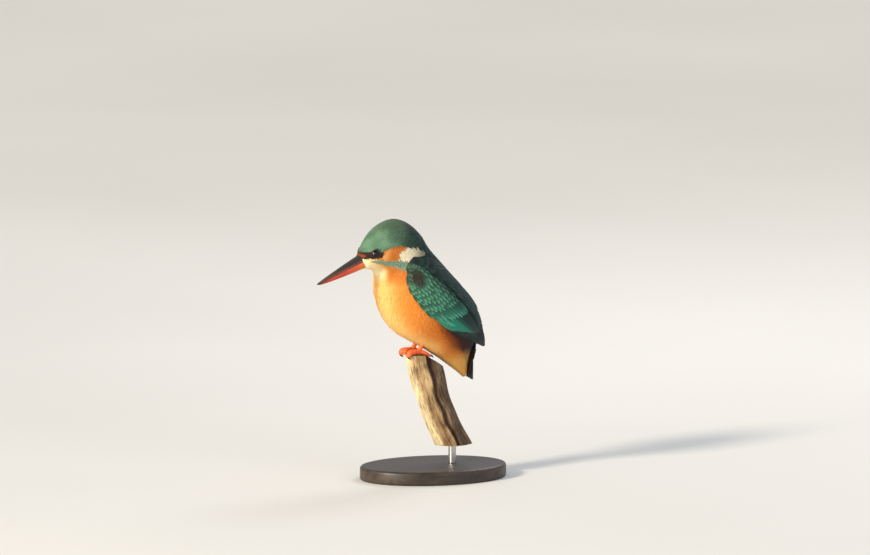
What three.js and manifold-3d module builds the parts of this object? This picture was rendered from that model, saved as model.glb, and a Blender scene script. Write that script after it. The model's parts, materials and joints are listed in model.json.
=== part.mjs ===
// A common kingfisher at life size, perched on a cut stem that a plain display stand holds.
// Millimetres, +Z up. The bird faces -Y and its left side is +X. The origin is the centre of the base's underside.
import * as THREE from "three";
import { mergeVertices } from "three/addons/utils/BufferGeometryUtils.js";
import Module from "manifold-3d";

const wasm = await Module();
wasm.setup();

// ---------------------------------------------------------------- driving dimensions

const GAP = 0.3; // between pieces that touch

const BASE_LENGTH = 100; // along Y
const BASE_WIDTH = 74;
const BASE_HEIGHT = 9;
const ROD_RADIUS = 2.6;
const ROD_HEIGHT = 12;

const PERCH_RADIUS = 10.8;
const PERCH_TOP = 0; // under the feet
const PERCH_DROP = 61.6; // from the top to the cut lower end
const PERCH_LINE = [[2.4, 18], [6.8, PERCH_TOP], [15.2, -31], [28.6, PERCH_TOP - PERCH_DROP], [36.5, -76]];
const PERCH_BREAK_Y = 6.4; // behind it the broken top falls away
const PERCH_BREAK = THREE.MathUtils.degToRad(32);

const HEAD_TURN = THREE.MathUtils.degToRad(12); // to the bird's left
const BILL_LENGTH = 36.6;
const BILL_PITCH = THREE.MathUtils.degToRad(21); // below the horizontal
const EYE_RADIUS = 3.3;
const WING_SIDE = { left: 1, right: -1 };

const FEET = new THREE.Vector3(0, -15, BASE_HEIGHT + ROD_HEIGHT + PERCH_DROP - PERCH_TOP + 2 * GAP);

// The body in side view, from the bill's root to the vent: the back's outline, the belly's outline and the half width.
const BODY = [
  { top: [-43.1, 66.9], bottom: [-37.6, 59.8], half: 4.6 },
  { top: [-37.9, 74.0], bottom: [-34.6, 59.0], half: 8.6 },
  { top: [-32.5, 80.5], bottom: [-31.8, 58.4], half: 11.8 },
  { top: [-25.5, 87.0], bottom: [-29.2, 57.2], half: 14.0 },
  { top: [-14.8, 90.8], bottom: [-27.4, 55.2], half: 15.2 },
  { top: [-4.6, 88.0], bottom: [-26.7, 52.2], half: 15.6 },
  { top: [4.9, 80.0], bottom: [-26.5, 48.8], half: 16.4 },
  { top: [11.4, 70.0], bottom: [-26.3, 44.6], half: 18.6 },
  { top: [21.8, 58.2], bottom: [-25.4, 38.4], half: 21.6 },
  { top: [31.9, 46.5], bottom: [-22.6, 29.8], half: 23.2 },
  { top: [41.3, 34.8], bottom: [-17.6, 21.0], half: 23.0 },
  { top: [46.2, 24.8], bottom: [-10.8, 14.2], half: 21.0 },
  { top: [46.6, 15.8], bottom: [-2.6, 9.2], half: 17.8 },
  { top: [44.6, 8.6], bottom: [7.5, 3.6], half: 14.0 },
  { top: [41.6, 2.0], bottom: [18.5, -3.4], half: 10.4 },
  { top: [39.7, -4.0], bottom: [27.0, -9.6], half: 7.4 },
  { top: [38.8, -9.5], bottom: [32.6, -13.9], half: 5.0 },
  { top: [38.7, -14.4], bottom: [35.9, -16.9], half: 3.0 },
];
const BODY_END = BODY.length - 1;
const BODY_SIDES = 28;
const HEAD_CUT = 5.6; // stations where the body is parted
const NECK_CUT = 8;

// The folded wing in side view, from the bend to the tip: its lower and its upper edge.
const WING = [
  { lower: [-10.0, 59.0], upper: [-4.0, 65.5] },
  { lower: [-11.5, 47.5], upper: [6.0, 64.0] },
  { lower: [-7.6, 37.2], upper: [17.9, 55.6] },
  { lower: [1.4, 28.2], upper: [28.9, 45.0] },
  { lower: [11.8, 21.8], upper: [38.4, 34.6] },
  { lower: [22.2, 16.4], upper: [44.2, 25.6] },
  { lower: [33.0, 11.8], upper: [47.6, 17.4] },
  { lower: [42.8, 6.6], upper: [50.0, 10.2] },
  { lower: [49.6, 3.4], upper: [50.6, 4.0] },
];
const WING_END = WING.length - 1;

// ---------------------------------------------------------------- helpers

const vec = (x, y, z) => new THREE.Vector3(x, y, z);
const { lerp, clamp, smoothstep } = THREE.MathUtils;

// Catmull-Rom through a list of equal-length rows, at a position counted in rows.
function along(rows, t) {
  const k = Math.min(Math.floor(clamp(t, 0, rows.length - 1)), rows.length - 2);
  const f = t - k;
  const [a, b, c, d] = [k - 1, k, k + 1, k + 2].map((i) => rows[clamp(i, 0, rows.length - 1)]);
  return b.map(
    (_, i) =>
      0.5 *
      (2 * b[i] +
        (c[i] - a[i]) * f +
        (2 * a[i] - 5 * b[i] + 4 * c[i] - d[i]) * f * f +
        (3 * b[i] - a[i] - 3 * c[i] + d[i]) * f * f * f),
  );
}

// A solid from points and triangles; the faces are turned round if they point inwards.
function solidOf(points, triangles) {
  const vertProperties = new Float32Array(points.flatMap((p) => [p.x, p.y, p.z]));
  const build = (order) =>
    new wasm.Manifold(
      new wasm.Mesh({ numProp: 3, vertProperties, triVerts: new Uint32Array(triangles.flatMap(order)) }),
    );
  const made = build((t) => t);
  return made.volume() > 0 ? made : build(([a, b, c]) => [a, c, b]);
}

// A solid from a three.js geometry, with its own transform.
function solidFrom(geometry, matrix = new THREE.Matrix4()) {
  const bare = geometry.clone().applyMatrix4(matrix);
  bare.deleteAttribute("normal");
  bare.deleteAttribute("uv");
  const merged = mergeVertices(bare, 1e-4);
  const position = merged.getAttribute("position");
  const points = Array.from({ length: position.count }, (_, i) => new THREE.Vector3().fromBufferAttribute(position, i));
  const index = Array.from(merged.index.array);
  const triangles = Array.from({ length: index.length / 3 }, (_, i) => index.slice(3 * i, 3 * i + 3));
  return solidOf(points, triangles);
}

// Rings of equally many points joined into a closed tube, with a fan over each end.
function loft(rings) {
  const n = rings[0].length;
  const points = rings.flat();
  const triangles = [];
  for (let r = 0; r < rings.length - 1; r++)
    for (let i = 0; i < n; i++) {
      const [a, b] = [r * n + i, r * n + ((i + 1) % n)];
      triangles.push([a, b, b + n], [a, b + n, a + n]);
    }
  for (const [first, flip] of [[0, true], [points.length - n, false]]) {
    const centre = points.length;
    const ring = points.slice(first, first + n);
    points.push(ring.reduce((sum, p) => sum.add(p), vec(0, 0, 0)).divideScalar(n));
    for (let i = 0; i < n; i++) {
      const [a, b] = [first + i, first + ((i + 1) % n)];
      triangles.push(flip ? [b, a, centre] : [a, b, centre]);
    }
  }
  return solidOf(points, triangles);
}

// A round bar along a smooth path, with a radius at each of its points.
function limb(path, radii, sides = 8, steps = 10) {
  const curve = new THREE.CatmullRomCurve3(path);
  const rings = [];
  for (let s = 0; s <= steps; s++) {
    const f = s / steps;
    const centre = curve.getPoint(f);
    const forward = curve.getTangent(f);
    const across = vec(1, 0, 0).addScaledVector(forward, -forward.x).normalize();
    const up = forward.clone().cross(across);
    const [radius] = along(radii.map((r) => [r]), f * (radii.length - 1));
    rings.push(
      Array.from({ length: sides }, (_, i) => {
        const turn = (2 * Math.PI * i) / sides;
        return centre
          .clone()
          .addScaledVector(across, radius * Math.cos(turn))
          .addScaledVector(up, radius * Math.sin(turn));
      }),
    );
  }
  return loft(rings);
}

const union = (solids) => wasm.Manifold.union(solids);

const SLIVER = 0.036; // the narrowest faces that are kept

// The largest closed surface of a solid, without the slivers that its unions and cuts leave.
function largest(solid) {
  const most = (pieces) => pieces.reduce((best, s) => (s.volume() > best.volume() ? s : best));
  return most(most(solid.decompose()).asOriginal().simplify(SLIVER).decompose());
}

function mirrored(solid, side) {
  return side > 0 ? solid : solid.mirror([1, 0, 0]);
}

// ---------------------------------------------------------------- the turn of the head

const NECK_FOOT = vec(0, -2, 47.5);
const NECK_UP = vec(0, -0.5, 0.866);
const NECK_PIVOT_Y = -5.3;
const TURN_START = 6; // height above the neck's foot where the turn begins and is complete
const TURN_FULL = 26;

function turned(p) {
  const height = p.clone().sub(NECK_FOOT).dot(NECK_UP);
  const angle = HEAD_TURN * smoothstep(height, TURN_START, TURN_FULL);
  const y = p.y - NECK_PIVOT_Y;
  return vec(
    p.x * Math.cos(angle) - y * Math.sin(angle),
    NECK_PIVOT_Y + p.x * Math.sin(angle) + y * Math.cos(angle),
    p.z,
  );
}

// ---------------------------------------------------------------- body

const BODY_ROWS = BODY.map(({ top, bottom, half }) => [...top, ...bottom, half]);

function section(t) {
  const [topY, topZ, bottomY, bottomZ, half] = along(BODY_ROWS, t);
  return { top: vec(0, topY, topZ), bottom: vec(0, bottomY, bottomZ), half };
}

// A point of the body's surface before the head turns: t counts stations, angle runs from the back round the side.
function bodyPoint(t, angle, grow = 0) {
  const { top, bottom, half } = section(t);
  const centre = top.clone().add(bottom).multiplyScalar(0.5);
  const depth = top.clone().sub(centre);
  const reach = depth.length();
  const point = centre.addScaledVector(depth, (Math.cos(angle) * (reach + grow)) / reach);
  point.x = Math.sin(angle) * (half + grow);
  return point;
}

const BODY_RINGS = 34;

// The whole body from the bill's root to the vent, or one grown or shrunk all round.
function bodySolid(grow = 0) {
  const rings = [];
  for (let i = 0; i <= BODY_RINGS; i++) {
    const t = (BODY_END * i) / BODY_RINGS;
    const ring = [];
    for (let k = 0; k < BODY_SIDES; k++) ring.push(turned(bodyPoint(t, (2 * Math.PI * k) / BODY_SIDES, grow)));
    rings.push(ring);
  }
  for (const [end, next] of [[0, 1], [rings.length - 1, rings.length - 2]]) {
    const middle = (ring) => ring.reduce((sum, p) => sum.add(p), vec(0, 0, 0)).divideScalar(ring.length);
    const outward = middle(rings[end]).sub(middle(rings[next])).normalize();
    rings[end].forEach((p) => p.addScaledVector(outward, grow));
  }
  return loft(rings);
}

// The station and the height on it, from -1 at the belly to 1 at the back, of a point of the side view.
function place(y, z) {
  const across = (t) => {
    const { top, bottom } = section(t);
    return (top.y - bottom.y) * (z - bottom.z) - (top.z - bottom.z) * (y - bottom.y);
  };
  let [low, high] = [0, BODY_END];
  for (let i = 0; i < 24; i++) {
    const middle = (low + high) / 2;
    if (across(middle) < 0) low = middle;
    else high = middle;
  }
  const { top, bottom, half } = section(low);
  const [dy, dz] = [top.y - bottom.y, top.z - bottom.z];
  const share = ((y - bottom.y) * dy + (z - bottom.z) * dz) / (dy * dy + dz * dz);
  return { station: low, height: clamp(2 * share - 1, -0.97, 0.97), half };
}

// The body's half width at a point of the side view.
function sideOf(y, z) {
  const { height, half } = place(y, z);
  return half * Math.sqrt(1 - height * height);
}

// ---------------------------------------------------------------- feathers

// A thin closed plate between two grids of points, split into triangles alike on both faces.
function plate(upper, lower) {
  const [rows, columns] = [upper.length, upper[0].length];
  const points = [...upper.flat(), ...lower.flat()];
  const top = (r, c) => r * columns + c;
  const under = (r, c) => rows * columns + top(r, c);
  const triangles = [];
  for (let r = 0; r < rows - 1; r++)
    for (let c = 0; c < columns - 1; c++) {
      const corners = [[r, c], [r, c + 1], [r + 1, c + 1], [r + 1, c]];
      const [a, b, d, e] = corners.map((corner) => top(...corner));
      const [f, g, h, i] = corners.map((corner) => under(...corner));
      triangles.push([a, b, d], [a, d, e], [f, h, g], [f, i, h]);
    }
  const rim = [];
  for (let c = 0; c < columns - 1; c++) rim.push([0, c]);
  for (let r = 0; r < rows - 1; r++) rim.push([r, columns - 1]);
  for (let c = columns - 1; c > 0; c--) rim.push([rows - 1, c]);
  for (let r = rows - 1; r > 0; r--) rim.push([r, 0]);
  rim.forEach((corner, k) => {
    const next = rim[(k + 1) % rim.length];
    triangles.push([top(...next), top(...corner), under(...corner)]);
    triangles.push([top(...next), under(...corner), under(...next)]);
  });
  return solidOf(points, triangles);
}

// The half width of a feather along its length, as a share of its widest: narrow root, full vane, round tip.
function featherOutline(s) {
  return Math.min(0.55 + 1.1 * s, 1) * Math.sqrt(1 - Math.pow(smoothstep(s, 0.62, 1.04), 2));
}

// A feather lying on a surface. frameAt(s) gives its middle line's point, the surface's normal, and the way across
// towards the edge that lies on top of the next feather.
const VANE_TILT = 0.32; // of the free edge over the covered one
const VANE_CAMBER = 0.14;

function vane({ frameAt, half, lift, thickness = 0.56, steps = 4, columns = [-1, 0, 1] }) {
  const [upper, lower] = [[], []];
  for (let i = 0; i <= steps; i++) {
    const s = i / steps;
    const { point, normal, across } = frameAt(s);
    const width = half * featherOutline(s);
    const height = lerp(...lift, Math.pow(s, 0.8));
    const thick = thickness * lerp(1, 0.6, s);
    const row = columns.map((c) =>
      point
        .clone()
        .addScaledVector(across, c * width)
        .addScaledVector(normal, height + (VANE_TILT * c - VANE_CAMBER * c * c) * (width / half)),
    );
    upper.push(row);
    lower.push(row.map((p) => p.clone().addScaledVector(normal, -thick)));
  }
  return plate(upper, lower);
}

// Numbers that vary alike on every run.
function seeded(seed) {
  let state = seed;
  return () => {
    state = (Math.imul(state, 1664525) + 1013904223) >>> 0;
    return state / 2 ** 32;
  };
}

// ---------------------------------------------------------------- wings

const WING_ROWS = WING.map(({ lower, upper }) => [...lower, ...upper]);
const WING_LIFT = 1.0; // of the wing's surface over the body, at its middle
const WING_EDGE_LIFT = 0.7;
const FREE_FROM = 0.6; // share of the wing's length where its end begins to leave the body
const FREE_AT = 0.82;
const FREE_LOWER_X = [[19.8], [16.8], [11.2], [4.9]]; // from there to the tip
const FREE_UPPER_X = [[8.4], [7.2], [5.6], [4.1]];
const CLEAR_OF_BODY = 0.7;
const CORE_END = 0.9;

// A point of the left wing's surface: u runs from the bend to the tip, v from the lower to the upper edge.
function wingPoint(u, v) {
  const [lowY, lowZ, highY, highZ] = along(WING_ROWS, u * WING_END);
  const [y, z] = [lerp(lowY, highY, v), lerp(lowZ, highZ, v)];
  const rise = 4 * clamp(v, 0, 1) * (1 - clamp(v, 0, 1));
  const body = sideOf(y, z);
  const end = 3 * clamp((u - FREE_FROM) / (1 - FREE_FROM), 0, 1);
  const freeX = lerp(along(FREE_LOWER_X, end)[0], along(FREE_UPPER_X, end)[0], v);
  const x = lerp(body + lerp(WING_EDGE_LIFT, WING_LIFT, rise), freeX, smoothstep(u, FREE_FROM, FREE_AT));
  return vec(Math.max(x, body + CLEAR_OF_BODY), y, z);
}

function wingNormal(u, v) {
  const h = 0.02;
  const forward = wingPoint(u + h, v).sub(wingPoint(u - h, v));
  const up = wingPoint(u, v + 2 * h).sub(wingPoint(u, v - 2 * h));
  const normal = forward.cross(up).normalize();
  return normal.x < 0 ? normal.negate() : normal;
}

// The folded wing without its feathers: a shell from its surface down to the body.
function wingCore() {
  const [lengthSteps, widthSteps] = [13, 5];
  const rings = [];
  for (let i = 0; i <= lengthSteps; i++) {
    const u = lerp(0.02, CORE_END, i / lengthSteps);
    const margin = lerp(0.01, 0.2, smoothstep(u, 0.55, CORE_END));
    const depth = lerp(5, 0.9, smoothstep(u, FREE_FROM - 0.1, FREE_AT));
    const [outer, inner] = [[], []];
    for (let j = 0; j <= widthSteps; j++) {
      const v = lerp(margin, 1 - margin, j / widthSteps);
      outer.push(wingPoint(u, v));
      inner.unshift(wingPoint(u, v).addScaledVector(wingNormal(u, v), -depth));
    }
    rings.push([...outer, ...inner]);
  }
  return loft(rings);
}

const EDGES = [-1, 1]; // a covert is flat across

// The wing's feathers in tiers, from the longest and deepest to the shortest. Each tier is listed from its lowest
// feather to its uppermost: where their roots and tips lie on the wing, their half widths and heights over it.
const WING_TIERS = [
  {
    name: "primaries",
    root: [[0.42, 0.1], [0.4, 0.5]],
    tips: [[0.9, 0.02], [0.955, 0.1], [1.0, 0.2], [0.985, 0.52], [0.95, 0.76], [0.905, 0.84], [0.86, 0.82]],
    half: [2.5, 3.2],
    lift: [-0.6, 0.3],
    steps: 4,
  },
  {
    name: "secondaries",
    root: [[0.3, 0.1], [0.28, 0.66]],
    tips: [[0.62, 0.07], [0.67, 0.16], [0.715, 0.26], [0.75, 0.37], [0.78, 0.48], [0.805, 0.59], [0.82, 0.69], [0.83, 0.79]],
    half: [2.4, 2.9],
    lift: [-0.3, 0.72],
    steps: 4,
  },
  {
    name: "tertials",
    root: [[0.26, 0.74], [0.24, 0.88]],
    tips: [[0.8, 0.86], [0.76, 0.93], [0.7, 0.98]],
    half: [3.3, 3.3],
    lift: [0, 1.0],
    steps: 4,
  },
  {
    name: "primary coverts",
    root: [[0.22, 0.04], [0.22, 0.14]],
    tips: [[0.45, 0.03], [0.49, 0.09], [0.52, 0.16]],
    half: [1.9, 2.1],
    lift: [-0.2, 0.85],
    steps: 3,
    columns: EDGES,
  },
  {
    name: "greater coverts",
    root: [[0.19, 0.14], [0.18, 0.78]],
    tips: [[0.43, 0.17], [0.46, 0.27], [0.48, 0.37], [0.495, 0.47], [0.5, 0.57], [0.5, 0.67], [0.49, 0.78]],
    half: [2.4, 2.7],
    lift: [0, 1.15],
    steps: 3,
    columns: EDGES,
  },
  {
    name: "median coverts",
    root: [[0.1, 0.08], [0.1, 0.8]],
    tips: [[0.29, 0.07], [0.32, 0.2], [0.34, 0.33], [0.355, 0.47], [0.36, 0.61], [0.35, 0.76]],
    half: [2.6, 2.9],
    lift: [0.2, 1.4],
    steps: 3,
    columns: EDGES,
  },
  {
    name: "lesser coverts",
    root: [[0.03, 0.14], [0.03, 0.82]],
    tips: [[0.17, 0.08], [0.2, 0.24], [0.22, 0.41], [0.23, 0.58], [0.225, 0.75]],
    half: [2.7, 3.0],
    lift: [0.1, 1.5],
    steps: 3,
    columns: EDGES,
  },
  {
    name: "scapulars",
    root: [[0.1, 0.84], [0.02, 1.0]],
    tips: [[0.62, 0.9], [0.52, 0.93], [0.42, 0.95], [0.32, 0.96], [0.21, 0.98]],
    half: [3.4, 3.0],
    lift: [0.5, 1.75],
    steps: 3,
  },
];

function wingFeathers() {
  const random = seeded(7);
  const vary = (amount) => amount * (2 * random() - 1);
  return WING_TIERS.flatMap(({ root, tips, half, lift, steps, columns }) =>
    tips.map((tip, i) => {
      const share = i / (tips.length - 1);
      const from = [lerp(root[0][0], root[1][0], share), lerp(root[0][1], root[1][1], share)];
      const to = [tip[0] + vary(0.006), tip[1] + vary(0.008)];
      const at = (s) => [lerp(from[0], to[0], s), lerp(from[1], to[1], s)];
      const frameAt = (s) => {
        const point = wingPoint(...at(s));
        const normal = wingNormal(...at(s));
        const forward = wingPoint(...at(s + 0.03)).sub(wingPoint(...at(s - 0.03)));
        const across = forward.cross(normal).normalize();
        return { point, normal, across: across.z > 0 ? across.negate() : across };
      };
      return vane({ frameAt, half: lerp(...half, share) * (1 + vary(0.05)), lift, steps, columns });
    }),
  );
}

function wing(side, bodyGrown) {
  return largest(mirrored(union([wingCore(), ...wingFeathers()]), side).subtract(bodyGrown));
}

// ---------------------------------------------------------------- tail

const TAIL_ROOT = [42.4, 16];
const TAIL_TIP = [41.9, -19.4];
const TAIL_HALF_SPAN = 6.6; // between the middle lines of the outermost feathers, at their tips
const TAIL_ROOT_HALF_SPAN = 3;
const TAIL_FEATHERS = 12;
const TAIL_STACK = 1.5; // from the outermost feathers in front to the middle pair behind
const RUMP_FEATHERS = 6;

// A feather hanging down behind the body, from a root to a tip, both as [x, y, z].
function hangingVane(root, tip, options) {
  const [from, to] = [vec(...root), vec(...tip)];
  const across = vec(Math.sign(root[0]), 0, 0); // the outer edge lies on the next feather
  const normal = vec(0, 1, 0);
  return vane({ ...options, frameAt: (s) => ({ point: from.clone().lerp(to, s), normal, across }) });
}

function tail(bodyGrown) {
  const pieces = [];
  for (let i = 0; i < TAIL_FEATHERS / 2; i++)
    for (const side of [1, -1]) {
      const share = (i + 0.5) / (TAIL_FEATHERS / 2);
      const back = TAIL_STACK * (0.5 - share);
      pieces.push(
        hangingVane(
          [side * TAIL_ROOT_HALF_SPAN * share, TAIL_ROOT[0] + back, TAIL_ROOT[1]],
          [side * TAIL_HALF_SPAN * share, TAIL_TIP[0] + back, TAIL_TIP[1] + 1.6 * share * share],
          { half: 2.6, lift: [0.35, 0.35], steps: 4 },
        ),
      );
    }
  for (let i = 0; i < RUMP_FEATHERS; i++) {
    const x = lerp(-4.2, 4.2, i / (RUMP_FEATHERS - 1));
    const fall = Math.abs(x);
    pieces.push(
      hangingVane([x * 0.8 + 0.01, 45.6, 12], [x + 0.01, 43.6 - 0.1 * fall, -4.5 + fall], {
        half: 2.2,
        lift: [0, 0.3],
        steps: 3,
        thickness: 1.1,
      }),
    );
  }
  return largest(union(pieces).subtract(bodyGrown));
}

// The undertail coverts, which grow from the torso and end under the tail feathers.
function undertail() {
  const random = seeded(11);
  const rows = [
    { count: 5, from: [27, -5.5], to: [36.5, -17], span: 4.6 },
    { count: 4, from: [31, -9], to: [38.4, -19.4], span: 3 },
  ];
  return rows.flatMap(({ count, from, to, span }) =>
    Array.from({ length: count }, (_, i) => {
      const x = lerp(-span, span, i / (count - 1));
      const inward = 0.35 * Math.abs(x);
      const start = vec(x, from[0], from[1] + inward);
      const end = vec(x * 0.8, to[0] + 0.3 * random(), to[1] + inward);
      const normal = vec(0.06 * x, -0.65, -0.76).normalize();
      const forward = end.clone().sub(start).normalize();
      const across = forward.clone().cross(normal).normalize();
      return vane({
        frameAt: (s) => ({ point: start.clone().lerp(end, s), normal, across }),
        half: 1.9,
        lift: [-0.6, 0.3],
        thickness: 1.2,
        steps: 3,
      });
    }),
  );
}

// ---------------------------------------------------------------- bill and eyes

const BILL_ROOT = vec(0, -40.4, 64.9); // on the line of the mouth, where the feathers end
const BILL_FORWARD = vec(0, -Math.cos(BILL_PITCH), -Math.sin(BILL_PITCH));
const BILL_UP = vec(0, -Math.sin(BILL_PITCH), Math.cos(BILL_PITCH));
const BILL_HALF_WIDTH = 4.3;
const BILL_UPPER_DEPTH = 3.8;
const BILL_LOWER_DEPTH = 5.2;
const BILL_SUNK = 7; // of the bill's root inside the head, before it is cut
const NOSTRIL = { forward: 3.4, up: 1.6, length: 2.6, height: 0.7, depth: 0.9 };
const MOUTH_CREASE = { back: 6, height: 0.45, depth: 0.8 }; // of the line of the mouth where it runs on into the face

// A point in the bill's own frame: along from the root, out to the left, and up from the line of the mouth.
function billPoint(forward, out, up) {
  return BILL_ROOT.clone()
    .addScaledVector(BILL_FORWARD, forward)
    .addScaledVector(BILL_UP, up)
    .add(vec(out, 0, 0));
}

// Half a bill. Its section has a flat side at the line of the mouth and a rounded ridge, on the given side of it.
function mandible(length, depth, ridge, side, headGrown) {
  const rings = [];
  const steps = 12;
  for (let i = 0; i <= steps; i++) {
    const s = lerp(-BILL_SUNK / length, 1, i / steps);
    const taper = Math.max(1 - Math.max(s, 0), 0);
    const half = BILL_HALF_WIDTH * Math.pow(taper, 0.84) + 0.22;
    const rise = depth * ridge(taper) + 0.22;
    const flat = GAP / 2;
    const outline = [
      [-1, 0], [-0.93, 0.3], [-0.72, 0.66], [-0.36, 0.93], [0, 1],
      [0.36, 0.93], [0.72, 0.66], [0.93, 0.3], [1, 0],
    ];
    rings.push(outline.map(([w, h]) => turned(billPoint(s * length, half * w, side * (flat + rise * h)))));
  }
  return largest(loft(rings).subtract(headGrown));
}

// An upright ellipsoid of the given half axes along the bill, out of it and up, turned with it.
function billEllipsoid(centre, [forward, out, up], detail) {
  const middle = turned(centre);
  const ahead = turned(centre.clone().add(BILL_FORWARD)).sub(middle).normalize();
  const outward = turned(centre.clone().add(vec(1, 0, 0))).sub(middle).normalize();
  const upward = outward.clone().cross(ahead).normalize();
  const placed = new THREE.Matrix4()
    .makeBasis(ahead, outward, upward)
    .scale(vec(forward, out, up))
    .setPosition(middle);
  return solidFrom(new THREE.SphereGeometry(1, ...detail), placed);
}

function nostril(side) {
  const { forward, up, length, height, depth } = NOSTRIL;
  const out = BILL_HALF_WIDTH * 0.86;
  return billEllipsoid(billPoint(forward, side * out, up), [length / 2, depth, height / 2], [12, 8]);
}

// The line of the mouth behind the bill: a shallow crease in the face, as deep as the grown and the shrunk body differ.
function mouthCrease(bodyShrunk) {
  const { back, height } = MOUTH_CREASE;
  const slot = billEllipsoid(billPoint(0, 0, 0), [back, 30, height], [16, 8]);
  return slot.subtract(bodyShrunk);
}

const EYE_PLACE = { y: -34.8, z: 70.3 };
const EYE_STANDS_OUT = 0.7;
const EYE_LOOK = vec(0.84, -0.5, 0.16).normalize();

function eyeCentre(side) {
  const surface = vec(sideOf(EYE_PLACE.y, EYE_PLACE.z), EYE_PLACE.y, EYE_PLACE.z);
  const centre = surface.addScaledVector(EYE_LOOK, EYE_STANDS_OUT - EYE_RADIUS);
  return turned(vec(centre.x * side, centre.y, centre.z));
}

function eyeLook(side) {
  return vec(EYE_LOOK.x * side, EYE_LOOK.y, EYE_LOOK.z).applyAxisAngle(vec(0, 0, 1), HEAD_TURN);
}

const LID_RADIUS = 0.45;
const LID_HEIGHT = 2.2; // of the lid's ring over the eye's centre

// The ring of bare skin round an eye, which stands on the head.
function lid(side) {
  const look = eyeLook(side);
  const major = Math.sqrt(EYE_RADIUS ** 2 - LID_HEIGHT ** 2) + LID_RADIUS;
  const turn = new THREE.Quaternion().setFromUnitVectors(vec(0, 0, 1), look);
  const centre = eyeCentre(side).addScaledVector(look, LID_HEIGHT);
  return solidFrom(
    new THREE.TorusGeometry(major, LID_RADIUS, 6, 24),
    new THREE.Matrix4().makeRotationFromQuaternion(turn).setPosition(centre),
  );
}

function ball(centre, radius, detail = [16, 10]) {
  return solidFrom(
    new THREE.SphereGeometry(radius, ...detail),
    new THREE.Matrix4().setPosition(centre),
  );
}

// ---------------------------------------------------------------- legs

const LEG_X = 5.6;
const TOE_RADIUS = 1.7;
const TOE_HEIGHT = PERCH_TOP + GAP + TOE_RADIUS;
const TOES = [
  { spread: -0.36, reach: 0.86 },
  { spread: -0.02, reach: 0.95 },
  { spread: 0.27, reach: 1.0 },
]; // from the inner to the outer: the outer two are joined over much of their length
const TOE_REACH = 8.2;
const TOE_DROP = 2.2; // of the toes' ends over the perch's front edge
const HIND_TOE_REACH = 7.5;
const HIND_TOE_DROP = 2.8; // of the hind toe's end down the broken slope
const ANKLE_Y = 2.6;

function claw(root, forward, down) {
  const middle = root.clone().addScaledVector(forward, 1.8).addScaledVector(down, 0.4);
  const end = root.clone().addScaledVector(forward, 3.0).addScaledVector(down, 1.8);
  return limb([root, middle, end], [0.95, 0.62, 0.16], 5, 4);
}

function leg(side, bodyGrown, perchGrown) {
  const ankle = vec(LEG_X * side, ANKLE_Y, TOE_HEIGHT + 0.5);
  const shank = [vec(LEG_X * side * 1.05, ANKLE_Y + 5.2, 11), vec(LEG_X * side, ANKLE_Y + 2.3, 6.4), ankle];
  const pieces = [limb(shank, [1.9, 1.6, 1.8], 7, 4)];
  for (const { spread, reach } of TOES) {
    const heading = vec(side * Math.sin(spread), -Math.cos(spread), 0);
    const at = (distance, drop) => ankle.clone().addScaledVector(heading, distance * reach).setZ(TOE_HEIGHT - drop);
    const path = [at(-0.5, 0), at(0.45 * TOE_REACH, -0.2), at(0.85 * TOE_REACH, 0.4), at(TOE_REACH, TOE_DROP)];
    const clawForward = vec(heading.x * 0.2, heading.y * 0.2, -1).normalize();
    pieces.push(
      limb(path, [1.8, TOE_RADIUS, TOE_RADIUS * 0.92, TOE_RADIUS * 0.72], 7, 6),
      claw(at(TOE_REACH * 0.99, TOE_DROP - 0.8), clawForward, heading.clone().negate()),
    );
  }
  const back = vec(side * 0.1, 1, 0).normalize();
  const behind = (share) =>
    ankle.clone().addScaledVector(back, HIND_TOE_REACH * share).setZ(TOE_HEIGHT - HIND_TOE_DROP * share * share);
  pieces.push(
    limb([behind(0), behind(0.5), behind(1)], [1.6, 1.4, 1.05], 7, 4),
    claw(behind(0.94), back, vec(0, 0, -1)),
  );
  return largest(union(pieces).subtract(bodyGrown).subtract(perchGrown));
}

// ---------------------------------------------------------------- perch and stand

const PERCH_SIDES = 16;
const PERCH_STEPS = 16;
const PERCH_KNOT = { at: 0.62, turn: 1.9, height: 2.2 };

const perchCurve = new THREE.CatmullRomCurve3(PERCH_LINE.map(([y, z]) => vec(0, y, z)));

// The cut stem: a slightly bent round bar with an uneven bark and a knot, broken off obliquely behind the feet.
function perchSolid(grow = 0) {
  const rings = [];
  for (let i = 0; i <= PERCH_STEPS; i++) {
    const f = i / PERCH_STEPS;
    const centre = perchCurve.getPoint(f);
    const down = perchCurve.getTangent(f);
    const dorsal = down.clone().cross(vec(1, 0, 0)).normalize();
    centre.x += 0.7 * Math.sin(3.1 * f + 0.4);
    const ring = [];
    for (let k = 0; k < PERCH_SIDES; k++) {
      const turn = (2 * Math.PI * k) / PERCH_SIDES;
      const swell = 0.35 * Math.sin(9 * f + 2 * turn) + 0.3 * Math.sin(3 * turn + 4 * f) + 0.25 * Math.sin(23 * f);
      const nearKnot = ((f - PERCH_KNOT.at) / 0.05) ** 2 + ((turn - PERCH_KNOT.turn) / 0.4) ** 2;
      const radius = PERCH_RADIUS + swell + PERCH_KNOT.height * Math.exp(-nearKnot) + grow;
      const point = centre.clone().addScaledVector(dorsal, radius * Math.cos(turn));
      ring.push(point.add(vec(radius * Math.sin(turn), 0, 0)));
    }
    rings.push(ring);
  }
  const fall = [0, -Math.sin(PERCH_BREAK), -Math.cos(PERCH_BREAK)];
  return loft(rings)
    .trimByPlane([0, 0, -1], -PERCH_TOP - grow)
    .trimByPlane(fall, PERCH_BREAK_Y * fall[1] + PERCH_TOP * fall[2] - grow)
    .trimByPlane([0, 0, 1], PERCH_TOP - PERCH_DROP - grow);
}

const PERCH_FOOT = PERCH_LINE.find(([, z]) => z === PERCH_TOP - PERCH_DROP);

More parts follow.
